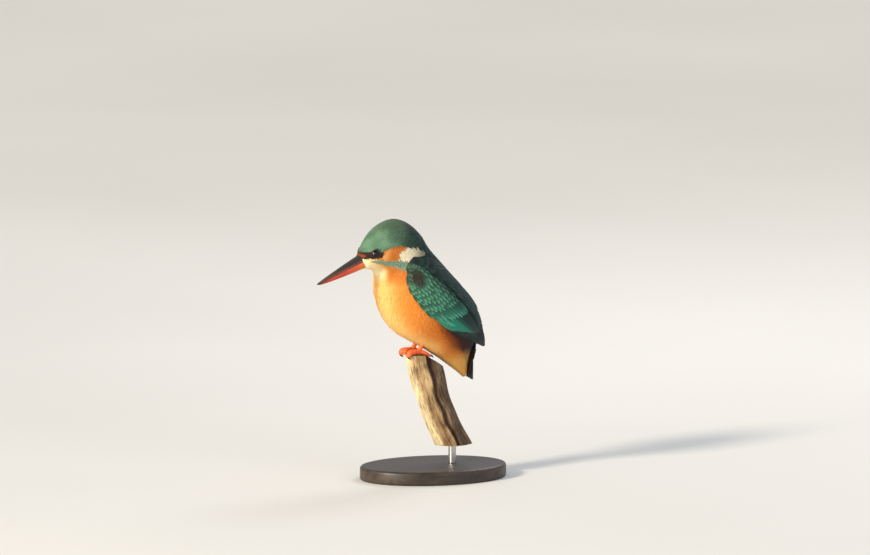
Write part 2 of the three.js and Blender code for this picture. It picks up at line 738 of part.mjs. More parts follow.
function standBase() {
  const outline = new THREE.Shape().absellipse(0, 0, BASE_WIDTH / 2 - 1, BASE_LENGTH / 2 - 1, 0, 2 * Math.PI);
  const plate = new THREE.ExtrudeGeometry(outline, {
    depth: BASE_HEIGHT - 2,
    bevelThickness: 1,
    bevelSize: 1,
    bevelSegments: 1,
    curveSegments: 30,
  });
  return solidFrom(plate, new THREE.Matrix4().setPosition(0, 0, 1));
}

function standRod() {
  const bar = new THREE.CylinderGeometry(ROD_RADIUS, ROD_RADIUS, ROD_HEIGHT, 20);
  bar.rotateX(Math.PI / 2);
  const middle = BASE_HEIGHT + GAP + ROD_HEIGHT / 2;
  return solidFrom(bar, new THREE.Matrix4().setPosition(0, FEET.y + PERCH_FOOT[0], middle));
}

// ---------------------------------------------------------------- materials and the model

const look = (color, roughness, metalness = 0) => new THREE.MeshStandardMaterial({ color, roughness, metalness });
const MATERIALS = {
  crown: look("#2f7a5e", 0.75),
  rufous: look("#e07f22", 0.8),
  wing: look("#1f7a63", 0.65),
  tail: look("#1c3f6b", 0.65),
  bill_upper: look("#2c2622", 0.4),
  bill_lower: look("#c8442c", 0.4),
  eye: look("#0d0907", 0.08),
  foot: look("#e8542c", 0.5),
  wood: look("#a58c68", 0.9),
  stand: look("#2e2a26", 0.6),
  rod: look("#b8b8b8", 0.3, 1),
};

const HAIR = 0.002;

// A named mesh of a solid. Its points are drawn in by a hair, so that feathers whose edges just touch stay apart.
function meshOf(name, solid, material) {
  const { numProp, vertProperties, triVerts, numVert } = solid.getMesh();
  const position = new Float32Array(numVert * 3);
  for (let i = 0; i < numVert; i++) position.set(vertProperties.subarray(i * numProp, i * numProp + 3), i * 3);
  const geometry = new THREE.BufferGeometry();
  geometry.setAttribute("position", new THREE.BufferAttribute(position, 3));
  geometry.setIndex(new THREE.BufferAttribute(triVerts, 1));
  geometry.computeVertexNormals();
  const normal = geometry.getAttribute("normal");
  for (let i = 0; i < position.length; i++) position[i] -= HAIR * normal.array[i];
  const mesh = new THREE.Mesh(geometry, MATERIALS[material]);
  mesh.name = name;
  return mesh;
}

// The plane through a station of the body, turned as far as the neck is there: its normal points to the head.
function stationPlane(t) {
  const { top, bottom } = section(t);
  const middle = turned(top.clone().add(bottom).multiplyScalar(0.5));
  const ahead = section(t - 0.3);
  const before = turned(ahead.top.clone().add(ahead.bottom).multiplyScalar(0.5)).sub(middle);
  const chord = turned(top).sub(turned(bottom)).normalize();
  const normal = before.addScaledVector(chord, -before.dot(chord)).normalize();
  return { normal: normal.toArray(), offset: normal.dot(middle) };
}

const reverse = (normal) => normal.map((n) => -n);
const body = bodySolid();
const bodyGrown = bodySolid(GAP);
const perchGrown = perchSolid(GAP);
const headPlane = stationPlane(HEAD_CUT);
const neckPlane = stationPlane(NECK_CUT);
const eyeSockets = [1, -1].map((side) => ball(eyeCentre(side), EYE_RADIUS + GAP));

const headSolid = body
  .trimByPlane(headPlane.normal, headPlane.offset + GAP / 2)
  .add(union([lid(1), lid(-1)]))
  .subtract(union([...eyeSockets, mouthCrease(bodySolid(-MOUTH_CREASE.depth))]));
const neckSolid = body
  .trimByPlane(reverse(headPlane.normal), -headPlane.offset + GAP / 2)
  .trimByPlane(neckPlane.normal, neckPlane.offset + GAP / 2);
const torsoSolid = body
  .trimByPlane(reverse(neckPlane.normal), -neckPlane.offset + GAP / 2)
  .add(union(undertail()));
const tailSolid = tail(bodyGrown.add(union(undertail())));
const upperBill = mandible(BILL_LENGTH, BILL_UPPER_DEPTH, (taper) => Math.pow(taper, 0.72), 1, bodyGrown);
const lowerBill = mandible(BILL_LENGTH - 0.7, BILL_LOWER_DEPTH, (taper) => Math.sqrt(taper), -1, bodyGrown);

const bird = new THREE.Group();
bird.position.copy(FEET);
bird.add(
  meshOf("head", largest(headSolid), "crown"),
  meshOf("neck", largest(neckSolid), "rufous"),
  meshOf("torso", largest(torsoSolid), "rufous"),
  meshOf("tail", tailSolid, "tail"),
  meshOf("bill_upper", largest(upperBill.subtract(union([nostril(1), nostril(-1)]))), "bill_upper"),
  meshOf("bill_lower", lowerBill, "bill_lower"),
  meshOf("perch", perchSolid(), "wood"),
);
for (const [name, side] of Object.entries(WING_SIDE)) {
  bird.add(
    meshOf(`eye_${name}`, ball(eyeCentre(side), EYE_RADIUS), "eye"),
    meshOf(`wing_${name}`, wing(side, bodyGrown), "wing"),
    meshOf(`leg_${name}`, leg(side, bodyGrown, perchGrown), "foot"),
  );
}

const kingfisher = new THREE.Group();
kingfisher.add(bird, meshOf("stand_base", standBase(), "stand"), meshOf("stand_rod", standRod(), "rod"));

export default kingfisher;
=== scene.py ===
"""The looks of a life-size common kingfisher, a female, on a cut stem held by a plain display stand.

Shapes are worked out in millimetres about a point between the feet, then moved to the frame. The bird faces -Y and
its left side is +X, as in the frame. Feathers are thin closed vanes laid over the surfaces of the body, wings and tail.
"""

import json
import math

import bmesh
import bpy
import numpy as np
from mathutils import Matrix, Vector

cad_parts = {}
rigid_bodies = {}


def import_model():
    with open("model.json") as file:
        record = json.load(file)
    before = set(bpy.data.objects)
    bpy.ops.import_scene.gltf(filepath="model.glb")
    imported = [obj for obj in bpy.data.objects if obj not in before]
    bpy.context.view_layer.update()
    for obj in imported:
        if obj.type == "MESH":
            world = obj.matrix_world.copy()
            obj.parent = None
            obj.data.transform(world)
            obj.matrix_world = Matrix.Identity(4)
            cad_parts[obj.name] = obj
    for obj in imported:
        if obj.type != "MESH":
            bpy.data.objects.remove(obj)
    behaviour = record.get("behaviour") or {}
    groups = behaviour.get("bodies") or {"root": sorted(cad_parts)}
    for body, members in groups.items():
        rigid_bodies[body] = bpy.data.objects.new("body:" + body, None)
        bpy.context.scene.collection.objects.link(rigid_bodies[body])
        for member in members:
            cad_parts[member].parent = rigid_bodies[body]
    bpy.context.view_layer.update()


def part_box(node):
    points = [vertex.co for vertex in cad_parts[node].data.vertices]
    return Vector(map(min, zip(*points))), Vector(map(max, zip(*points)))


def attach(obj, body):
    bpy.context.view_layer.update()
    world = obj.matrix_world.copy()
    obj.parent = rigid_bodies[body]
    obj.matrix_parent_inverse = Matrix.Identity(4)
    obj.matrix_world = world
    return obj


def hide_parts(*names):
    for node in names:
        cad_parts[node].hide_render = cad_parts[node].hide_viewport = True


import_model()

# ---------------------------------------------------------------- sizes, in millimetres

MM = 0.001
FEET = np.array([0.0, -15.0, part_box("perch")[1][2] / MM])  # between the feet, on the perch's top
LEFTWARD = np.array([1.0, 0, 0])
FULL_TURN = 2 * math.pi

HEAD_TURN = math.radians(12)
NECK_FOOT = np.array([-2.0, 47.5])  # in side view, where the head's turn is measured from
NECK_UP = np.array([-0.5, 0.866])
NECK_PIVOT_Y = -5.3
TURN_SPAN = (6.0, 26.0)  # up the neck, over which it twists

# The plumage in side view: the back's outline, the belly's outline and the half width, from the bill to the vent.
BODY = [
    (-43.1, 66.9, -37.6, 59.8, 4.6),
    (-37.9, 74.0, -34.6, 59.0, 8.6),
    (-32.5, 80.5, -31.8, 58.4, 11.8),
    (-25.5, 87.0, -29.2, 57.2, 14.0),
    (-14.8, 90.8, -27.4, 55.2, 15.2),
    (-4.6, 88.0, -26.7, 52.2, 15.6),
    (4.9, 80.0, -26.5, 48.8, 16.4),
    (11.4, 70.0, -26.3, 44.6, 18.6),
    (21.8, 58.2, -25.4, 38.4, 21.6),
    (31.9, 46.5, -22.6, 29.8, 23.2),
    (41.3, 34.8, -17.6, 21.0, 23.0),
    (46.2, 24.8, -10.8, 14.2, 21.0),
    (46.6, 15.8, -2.6, 9.2, 17.8),
    (44.6, 8.6, 7.5, 3.6, 14.0),
    (41.6, 2.0, 18.5, -3.4, 10.4),
    (39.7, -4.0, 27.0, -9.6, 7.4),
    (38.8, -9.5, 32.6, -13.9, 5.0),
    (38.7, -14.4, 35.9, -16.9, 3.0),
]
BODY_END = len(BODY) - 1
SKIN_DEPTH = 1.3  # of the skin under the plumage's surface

# The folded wing in side view: its lower and its upper edge, from the bend to the tip.
WING = [
    (-10.0, 59.0, -4.0, 65.5),
    (-10.2, 47.8, 6.0, 64.0),
    (-5.6, 39.0, 17.9, 55.6),
    (2.4, 29.4, 28.9, 45.0),
    (11.8, 21.8, 38.4, 34.6),
    (22.2, 16.4, 44.2, 25.6),
    (33.0, 11.8, 47.6, 17.4),
    (42.8, 6.6, 50.0, 10.2),
    (49.6, 3.4, 50.6, 4.0),
]
WING_END = len(WING) - 1
WING_LIFT = 1.0  # over the body, along the wing's middle
WING_EDGE_LIFT = 0.7
FREE_SPAN = (0.6, 0.82)  # of the wing's length, over which it leaves the body
FREE_LOWER_X = [19.8, 16.8, 11.2, 4.9]
FREE_UPPER_X = [8.4, 7.2, 5.6, 4.1]
WING_TUCK = 1.6  # how far the feathers round the wing's front edge close up to the body

BILL_LENGTH = 36.6
BILL_PITCH = math.radians(21)
BILL_ROOT = np.array([0.0, -40.4, 64.9])
BILL_FORWARD = np.array([0.0, -math.cos(BILL_PITCH), -math.sin(BILL_PITCH)])
BILL_UP = np.array([0.0, -math.sin(BILL_PITCH), math.cos(BILL_PITCH)])
BILL_HALF_WIDTH = 4.3
BILL_UPPER_DEPTH = 3.8
BILL_LOWER_DEPTH = 5.2
LOWER_SHORTER = 0.7  # how much shorter the lower half is

EYE_RADIUS = 3.3
EYE_PLACE = np.array([-34.8, 70.3])
EYE_STANDS_OUT = 0.7
EYE_LOOK = np.array([0.84, -0.5, 0.16]) / np.linalg.norm([0.84, -0.5, 0.16])

rng = np.random.default_rng(5)


# ---------------------------------------------------------------- curves and surfaces


def unit(v):
    v = np.asarray(v, float)
    return v / np.linalg.norm(v, axis=-1, keepdims=True)


def smoothstep(x, low, high):
    s = np.clip((np.asarray(x, float) - low) / (high - low), 0, 1)
    return s * s * (3 - 2 * s)


def mix(a, b, share):
    return a + (b - a) * share


def along(rows, t):
    """Catmull-Rom through rows of numbers, at places counted in rows."""
    rows = np.asarray(rows, float)
    last = len(rows) - 1
    t = np.clip(np.asarray(t, float), 0, last)
    k = np.minimum(t.astype(int), last - 1)
    f = (t - k).reshape(t.shape + (1,) * (rows.ndim - 1))
    a, b, c, d = (rows[np.clip(k + i, 0, last)] for i in (-1, 0, 1, 2))
    return 0.5 * (2 * b + (c - a) * f + (2 * a - 5 * b + 4 * c - d) * f**2 + (3 * b - a - 3 * c + d) * f**3)


def columns_along(rows, t):
    return np.moveaxis(along(rows, t), -1, 0)


def turn_by(x, y, angle):
    sin, cos = np.sin(angle), np.cos(angle)
    return x * cos - y * sin, x * sin + y * cos


def turned(points):
    """Points of the bird with its head turned: the neck twists the more the higher up it is."""
    height = (points[..., 1:] - NECK_FOOT) @ NECK_UP
    angle = HEAD_TURN * smoothstep(height, *TURN_SPAN)
    x, y = turn_by(points[..., 0], points[..., 1] - NECK_PIVOT_Y, angle)
    return np.stack([x, NECK_PIVOT_Y + y, points[..., 2]], -1)


def body_unturned(t, angle, grow=0.0):
    """The plumage's surface before the head turns. The angle runs from the back's middle down the left side."""
    top_y, top_z, low_y, low_z, half = columns_along(BODY, t)
    deep_y, deep_z = (top_y - low_y) / 2, (top_z - low_z) / 2
    share = np.cos(angle) * (1 + grow / np.hypot(deep_y, deep_z))
    y = (top_y + low_y) / 2 + deep_y * share
    z = (top_z + low_z) / 2 + deep_z * share
    return np.stack([np.sin(angle) * (half + grow), y, z], -1)


def body_point(t, angle, grow=0.0):
    return turned(body_unturned(t, angle, grow))


def side_of(y, z):
    """The body's half width at points of the side view, from its cross-section through each by halving."""
    low, high = np.zeros(np.shape(y)), np.full(np.shape(y), float(BODY_END))
    for _ in range(22):
        middle = (low + high) / 2
        top_y, top_z, low_y, low_z, _half = columns_along(BODY, middle)
        ahead = (top_y - low_y) * (z - low_z) - (top_z - low_z) * (y - low_y) < 0
        low, high = np.where(ahead, middle, low), np.where(ahead, high, middle)
    top_y, top_z, low_y, low_z, half = columns_along(BODY, low)
    deep_y, deep_z = top_y - low_y, top_z - low_z
    share = ((y - low_y) * deep_y + (z - low_z) * deep_z) / (deep_y**2 + deep_z**2)
    height = np.clip(2 * share - 1, -0.97, 0.97)
    return half * np.sqrt(1 - height**2)


def wing_point(u, v):
    """The left wing's surface: u from the bend to the tip, v from the lower to the upper edge, and a little beyond."""
    before = np.minimum(u, 0)[..., None] * WING_END * np.subtract(WING[1], WING[0])
    low_y, low_z, high_y, high_z = np.moveaxis(along(WING, u * WING_END) + before, -1, 0)
    y, z = mix(low_y, high_y, v), mix(low_z, high_z, v)
    inside = np.clip(v, 0, 1)
    body = side_of(y, z)
    tucked = np.maximum(smoothstep(v, 0.03, -0.05) * smoothstep(u, 0.6, 0.4), smoothstep(u, 0, -0.05))
    end = 3 * np.clip((u - FREE_SPAN[0]) / (1 - FREE_SPAN[0]), 0, 1)
    free_x = mix(along(FREE_LOWER_X, end), along(FREE_UPPER_X, end), v)
    x = body + mix(WING_EDGE_LIFT, WING_LIFT, 4 * inside * (1 - inside))
    x = mix(x, free_x, smoothstep(u, *FREE_SPAN))
    return np.stack([np.maximum(x, body + WING_EDGE_LIFT) - WING_TUCK * tucked, y, z], -1)


class Surface:
    """A surface over two numbers p and q, kept as a fine grid and read between its points."""

    def __init__(self, point_of, p_span, q_span, steps, outward):
        self.p_span, self.q_span = p_span, q_span
        p, q = np.linspace(*p_span, steps[0]), np.linspace(*q_span, steps[1])
        points = point_of(*np.meshgrid(p, q, indexing="ij"))
        along_p = np.gradient(points, p, axis=0)
        along_q = np.gradient(points, q, axis=1)
        normals = outward * unit(np.cross(along_p, along_q))
        stretch = [np.linalg.norm(a, axis=-1, keepdims=True) for a in (along_p, along_q)]
        self.grid = np.concatenate([points, normals, *stretch], -1)

    def read(self, p, q):
        """Rows of x, y, z, the normal, and how many millimetres one unit of p and of q is long."""
        grid = self.grid
        place = []
        for value, (low, high), count in ((p, self.p_span, grid.shape[0]), (q, self.q_span, grid.shape[1])):
            index = (np.asarray(value, float) - low) / (high - low) * (count - 1)
            whole = np.clip(index.astype(int), 0, count - 2)
            place.append((whole, np.clip(index - whole, -2, 3)[..., None]))
        (i, f), (j, g) = place
        near = mix(grid[i, j], grid[i + 1, j], f)
        far = mix(grid[i, j + 1], grid[i + 1, j + 1], f)
        return mix(near, far, g)


# ---------------------------------------------------------------- meshes

BAKE_PATCH = 0.003  # of the baked map, for each small feather
VANE_TAPER = (0.65, 0.5)  # how much thinner a vane is at its edges, and at its tip


def turned_over(batch):
    """The batch with its faces the other way round."""
    return {**batch, "faces": batch["faces"][:, ::-1], "ends": [end[::-1] for end in batch["ends"]]}


def mirrored(batch):
    """The batch on the bird's right side."""
    flip = (-1, 1, 1)
    normals = batch["normals"]
    flipped = {"points": batch["points"] * flip, "normals": None if normals is None else normals * flip}
    return {**turned_over(batch), **flipped}


def vane_faces(rows, columns):
    """The faces of one closed vane in turn from its upper side and from its under side, which share the rim."""
    top = np.arange(rows * columns).reshape(rows, columns)
    under = top.copy()
    under[1:-1, 1:-1] = rows * columns + np.arange((rows - 2) * (columns - 2)).reshape(rows - 2, -1)
    upper = np.stack([top[:-1, :-1], top[1:, :-1], top[1:, 1:], top[:-1, 1:]], -1)
    lower = np.stack([under[:-1, :-1], under[:-1, 1:], under[1:, 1:], under[1:, :-1]], -1)
    return np.stack([upper, lower], 2).reshape(-1, 4)


def vane_grid(rows, columns):
    """How far along a vane, and how far across it from -1 to 1, the points of its upper side are."""
    return np.linspace(0, 1, rows)[None, :, None], np.linspace(-1, 1, columns)[None, None, :]


def cell_middles(number, cells):
    """The middles of numbered patches of the baked map, in rows of this many."""
    return np.stack([(number % cells + 0.5) / cells, (number // cells + 0.5) / cells], -1)


def closed_vanes(points, normal, thickness, shade, bake, patch, smooth):
    """A batch of thin closed vanes from the grids of points of their upper sides.

    normal is the surface's under each point, and smooth is how far the shading keeps to it instead of each vane's own
    relief. bake holds the middle of each vane's patch in the baked map and patch that patch's width.
    """
    count, rows, columns = points.shape[:3]
    s, c = vane_grid(rows, columns)
    depth = thickness * (1 - VANE_TAPER[0] * np.abs(c)) * (1 - VANE_TAPER[1] * s)
    under = points - normal * depth[..., None]
    own = np.cross(np.gradient(points, axis=1), np.gradient(points, axis=2))
    own *= np.sign(np.sum(own * normal, -1, keepdims=True))
    vane = np.stack(np.broadcast_arrays(c * 0.5 + 0.5 + 0 * s, s + 0 * c), -1)
    vane = np.broadcast_to(vane, (count, rows, columns, 2))

    def both(upper, lower):
        halves = [half.reshape(count, -1, upper.shape[-1]) for half in (upper, lower[:, 1:-1, 1:-1])]
        return np.concatenate(halves, 1).reshape(-1, upper.shape[-1])

    number = rows * columns + (rows - 2) * (columns - 2)
    faces = vane_faces(rows, columns)
    corners = points[0].reshape(-1, 3)[faces[0]]
    if np.cross(corners[1] - corners[0], corners[3] - corners[0]) @ normal[0, 0, 0] < 0:
        faces = faces[:, ::-1]
    maps = {
        "normals": unit(mix(unit(own + 1e-9 * normal), normal, smooth)),
        "shade": np.broadcast_to(np.clip(shade, 0, 1), points.shape),
        "vane": vane,
        "bake": bake[:, None, None, :] + patch * (vane - 0.5),
    }
    return {
        "points": both(points, under),
        "faces": (faces[None] + number * np.arange(count)[:, None, None]).reshape(-1, 4),
        "ends": [],
        **{key: both(values, values) for key, values in maps.items()},
    }


def round_outline(s, root, full_from, round_from, round_to=1.03):
    """A feather's half width along its length, as a share of its widest."""
    opening = np.minimum(root + (1 - root) * s / full_from, 1)
    return opening * np.sqrt(np.clip(1 - smoothstep(s, round_from, round_to) ** 2, 0, 1))


def lay(surface, p, q, length, half, heights, colours, grid, heading, outline, camber, thickness,
        tilt=0.0, fringe=0.06, bake=None, smooth=0.5):
    """Lays a vane at each place (p, q) of a surface, along p and turned by heading towards q.

    length and half are in millimetres, heights are the root's and the tip's over the surface, and colours(s, c)
    gives each vane's colours, for s from the root to the tip and c from one edge to the other.
    """
    count = len(p)

    def column(value):
        return np.broadcast_to(np.asarray(value, float), (count,))[:, None, None]

    s, c = vane_grid(*grid)
    stretch = surface.read(p, q)[:, 6:8]
    ragged = fringe * rng.uniform(-1, 1, (count, 1, grid[1])) * smoothstep(s, 0.6, 1)
    forward = column(length) * (s + ragged)
    sideways = column(half) * c * outline(s)
    ahead, aside = turn_by(forward, sideways, column(heading))
    found = surface.read(column(p) + ahead / stretch[:, 0, None, None], column(q) + aside / stretch[:, 1, None, None])
    low, high = (column(h) for h in heights)
    height = mix(low, high, s**0.35) + column(tilt) * c * outline(s) - column(camber) * c**2 * outline(s)
    normal = found[..., 3:6]
    points = found[..., :3] + normal * height[..., None]
    if bake is None:
        spans = ((q, surface.q_span), (p, surface.p_span))
        place = np.stack([(value - first) / (last - first) for value, (first, last) in spans], -1)
        bake = (0.01 + 0.98 * place, BAKE_PATCH)
    return closed_vanes(points, normal, thickness, colours(s, c), *bake, smooth)


def grid_batch(points, shade, spots=None):
    """A batch from a grid of points, closed round its second way, with its two ends filled."""
    rows, columns = points.shape[:2]
    index = np.arange(rows * columns).reshape(rows, columns)
    beside = np.roll(index, -1, axis=1)
    shares = np.stack(np.meshgrid(np.linspace(0, 1, columns), np.linspace(0, 1, rows)), -1)
    return {
        "points": points.reshape(-1, 3),
        "faces": np.stack([index[:-1], index[1:], beside[1:], beside[:-1]], -1).reshape(-1, 4),
        "ends": [index[0, ::-1], index[-1]],
        "normals": None,
        "shade": np.broadcast_to(shade, points.shape).reshape(-1, 3),
        "vane": shares.reshape(-1, 2),
        "bake": (shares if spots is None else spots).reshape(-1, 2),
    }


def orient(batch, centre):
    """Turns a closed batch's faces outward from a point inside it."""
    corners = batch["points"][batch["faces"]]
    normal = np.cross(corners[:, 1] - corners[:, 0], corners[:, 2] - corners[:, 0])
    outward = np.einsum("ij,ij->i", normal, corners.mean(1) - centre)
    return turned_over(batch) if outward.sum() < 0 else batch


def corner_normals(batch):
    """A shading normal for each corner of a batch's faces: each vane's own above, turned over below, else none."""
    faces = batch["faces"]
    if batch["normals"] is None:
        return np.zeros((faces.size + sum(len(end) for end in batch["ends"]), 3))
    side = np.where(np.arange(len(faces)) % 2 == 0, 1, -1)[:, None, None]
    return (batch["normals"][faces] * side).reshape(-1, 3)


def placed(name, data):
    """A new object in the scene."""
    thing = bpy.data.objects.new(name, data)
    bpy.context.scene.collection.objects.link(thing)
    return thing


def piece(name, batches, material, replaces=()):
    """One object of the joined batches, moved from the feet to the frame, riding on the part's one body."""
    faces, start = [], 0
    for batch in batches:
        faces.extend((batch["faces"] + start).tolist())
        faces.extend((end + start).tolist() for end in batch["ends"])
        start += len(batch["points"])
    points, shade, vane, bake = (
        np.concatenate([batch[key] for batch in batches]) for key in ("points", "shade", "vane", "bake")
    )
    mesh = bpy.data.meshes.new(name)
    mesh.from_pydata((points + FEET) * MM, [], faces)
    corner = np.empty(len(mesh.loops), int)
    mesh.loops.foreach_get("vertex_index", corner)
    shade = np.concatenate([shade, np.ones((start, 1))], 1)
    mesh.color_attributes.new("Shade", "FLOAT_COLOR", "POINT").data.foreach_set("color", shade.ravel())
    for layer, spots in (("OFBake", bake), ("Vane", vane)):
        mesh.uv_layers.new(name=layer).data.foreach_set("uv", spots[corner].ravel())
    mesh.shade_smooth()
    if any(batch["normals"] is not None for batch in batches):
        mesh.normals_split_custom_set(np.concatenate([corner_normals(batch) for batch in batches]))
    mesh.materials.append(material)
    thing = placed(name, mesh)
    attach(thing, "root")
    if replaces:
        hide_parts(*replaces)
    return thing


# ---------------------------------------------------------------- colours


def palette(text):
    """Linear colours from sRGB hexadecimal ones."""
    values = np.array([[int(word[i : i + 2], 16) for i in (1, 3, 5)] for word in text.split()]) / 255
    return np.where(values <= 0.04045, values / 12.92, ((values + 0.055) / 1.055) ** 2.4)


CROWN_DARK, CROWN_LIGHT, CROWN_GREY, CROWN_SPECK, NAPE_PAINTED_SHADE = palette("#16332a #84b08c #5a6a4c #3f9a92 #101f1a")
AZURE, AZURE_DARK, NAVY, TAIL_BLUE, QUILL_DARK = palette("#2f9fc4 #14507e #151a25 #1b3654 #14161c")
WING_DARK, WING_SUNLIT_OLIVE, WING_GREEN, WING_TEAL = palette("#14302a #4a5a38 #38694c #1f8a70")
WING_SPOT, WING_BROWN = palette("#6cc0a4 #2b241c")
ORANGE, ORANGE_PALE, ORANGE_DEEP, RUST, TAN, PAINTED_SHADE_BROWN = palette("#ea8420 #fccb78 #c2600f #6c2c0e #dba452 #5a3420")
RUFOUS, LORE_SPOT, LORE_DARK = palette("#d8701e #78341a #2a1a10")
WHITE, WHITE_DULL, THROAT, MALAR, MALAR_LIGHT = palette("#fdf1cf #8d8468 #fdedbe #2f6f62 #b4c4a4")
HORN_DARK, HORN_BROWN, HORN_RED, BILL_RED, BILL_ORANGE = palette("#2a2420 #5b4a38 #8c4530 #c8452c #dd6a35")
PUPIL, IRIS, LID_SKIN, FOOT_RED, CLAW_HORN = palette("#050404 #241209 #1d1a18 #f06c30 #2b211c")
WOOD_PALE, WOOD_BEIGE, WOOD_BROWN, WOOD_GREY, WOOD_DARK = palette("#ecdfbc #b9a382 #8f7458 #746556 #43302a")

# The markings in side view, before the head turns.
CROWN_EDGE = [(-44, 71.6), (-41.5, 70.9), (-35.6, 71.5), (-30.1, 71.7), (-24.7, 74.4), (-18.7, 74.8), (-12.9, 73.4),
              (-3.5, 71.3), (3.1, 68.8), (9, 62)]
EAR = [(-31.2, 67.8), (-28, 72), (-24.7, 74.4), (-18.7, 74.9), (-15.1, 72.8), (-18.6, 69.8), (-20.6, 66.6), (-25, 65),
       (-29.2, 65.7)]
WHITE_PATCH = [(-19.5, 65.3), (-18.4, 70.7), (-12.9, 73.4), (-3.5, 71.3), (2.6, 69.2), (3, 66), (-4.2, 64.7),
               (-11.5, 63.7)]
MALAR_STRIPE = [(-37, 65.5), (-32.9, 66), (-25, 65), (-19.5, 65.3), (-11.5, 63.7), (-3, 65), (3, 66), (-2, 55),
                (-9, 56), (-14, 58.5), (-19.8, 60.5), (-25.8, 61.6), (-31.5, 63.2), (-37, 64.6)]
LORE = [(-44, 71.6), (-41.5, 70.9), (-35.6, 71.5), (-30.1, 71.7), (-30.6, 68.6), (-34, 66.9), (-44, 66.6)]
LORE_SPOT_PLACE = np.array([-42.2, 68.8])
LORE_SPOT_REACH = (2.6, 1.5)
MARKINGS_FROM_X = 4.2  # how far out the ear patch, the white patch and the stripe begin
EDGE_DARKER = 0.1  # the share of its colour that a small feather loses at its edges
# Where the back begins on the flanks: height, then how far back.
BACK_EDGE = [(-20, 38.5), (-10, 37.5), (-4.5, 35.3), (2.9, 31.2), (10.1, 27.5), (15.8, 20.9), (30, 14), (45, 8),
             (60, 0), (66, -3), (72, -3), (95, -3)]


def inside_outline(points, outline):
    """Whether side-view points lie in a closed outline."""
    x, y = points[..., 0], points[..., 1]
    found = np.zeros(x.shape, bool)
    for (x0, y0), (x1, y1) in zip(outline, np.roll(outline, -1, axis=0)):
        crosses = (y0 > y) != (y1 > y)
        reach = x0 + (y - y0) * (x1 - x0) / np.where(y1 == y0, 1e-9, y1 - y0)
        found ^= crosses & (x < reach)
    return found


def mottle(points, size, seed):
    """A slow random swell over points, between 0 and 1, with swells about size millimetres wide."""
    waves = np.random.default_rng(seed)
    total = np.zeros(points.shape[:-1])
    for _ in range(9):
        direction = unit(waves.normal(size=3)) * waves.uniform(0.6, 1.5) * math.pi / size
        total += np.sin(points @ direction + waves.uniform(0, FULL_TURN))
    return smoothstep(total / 3, -1.4, 1.4)


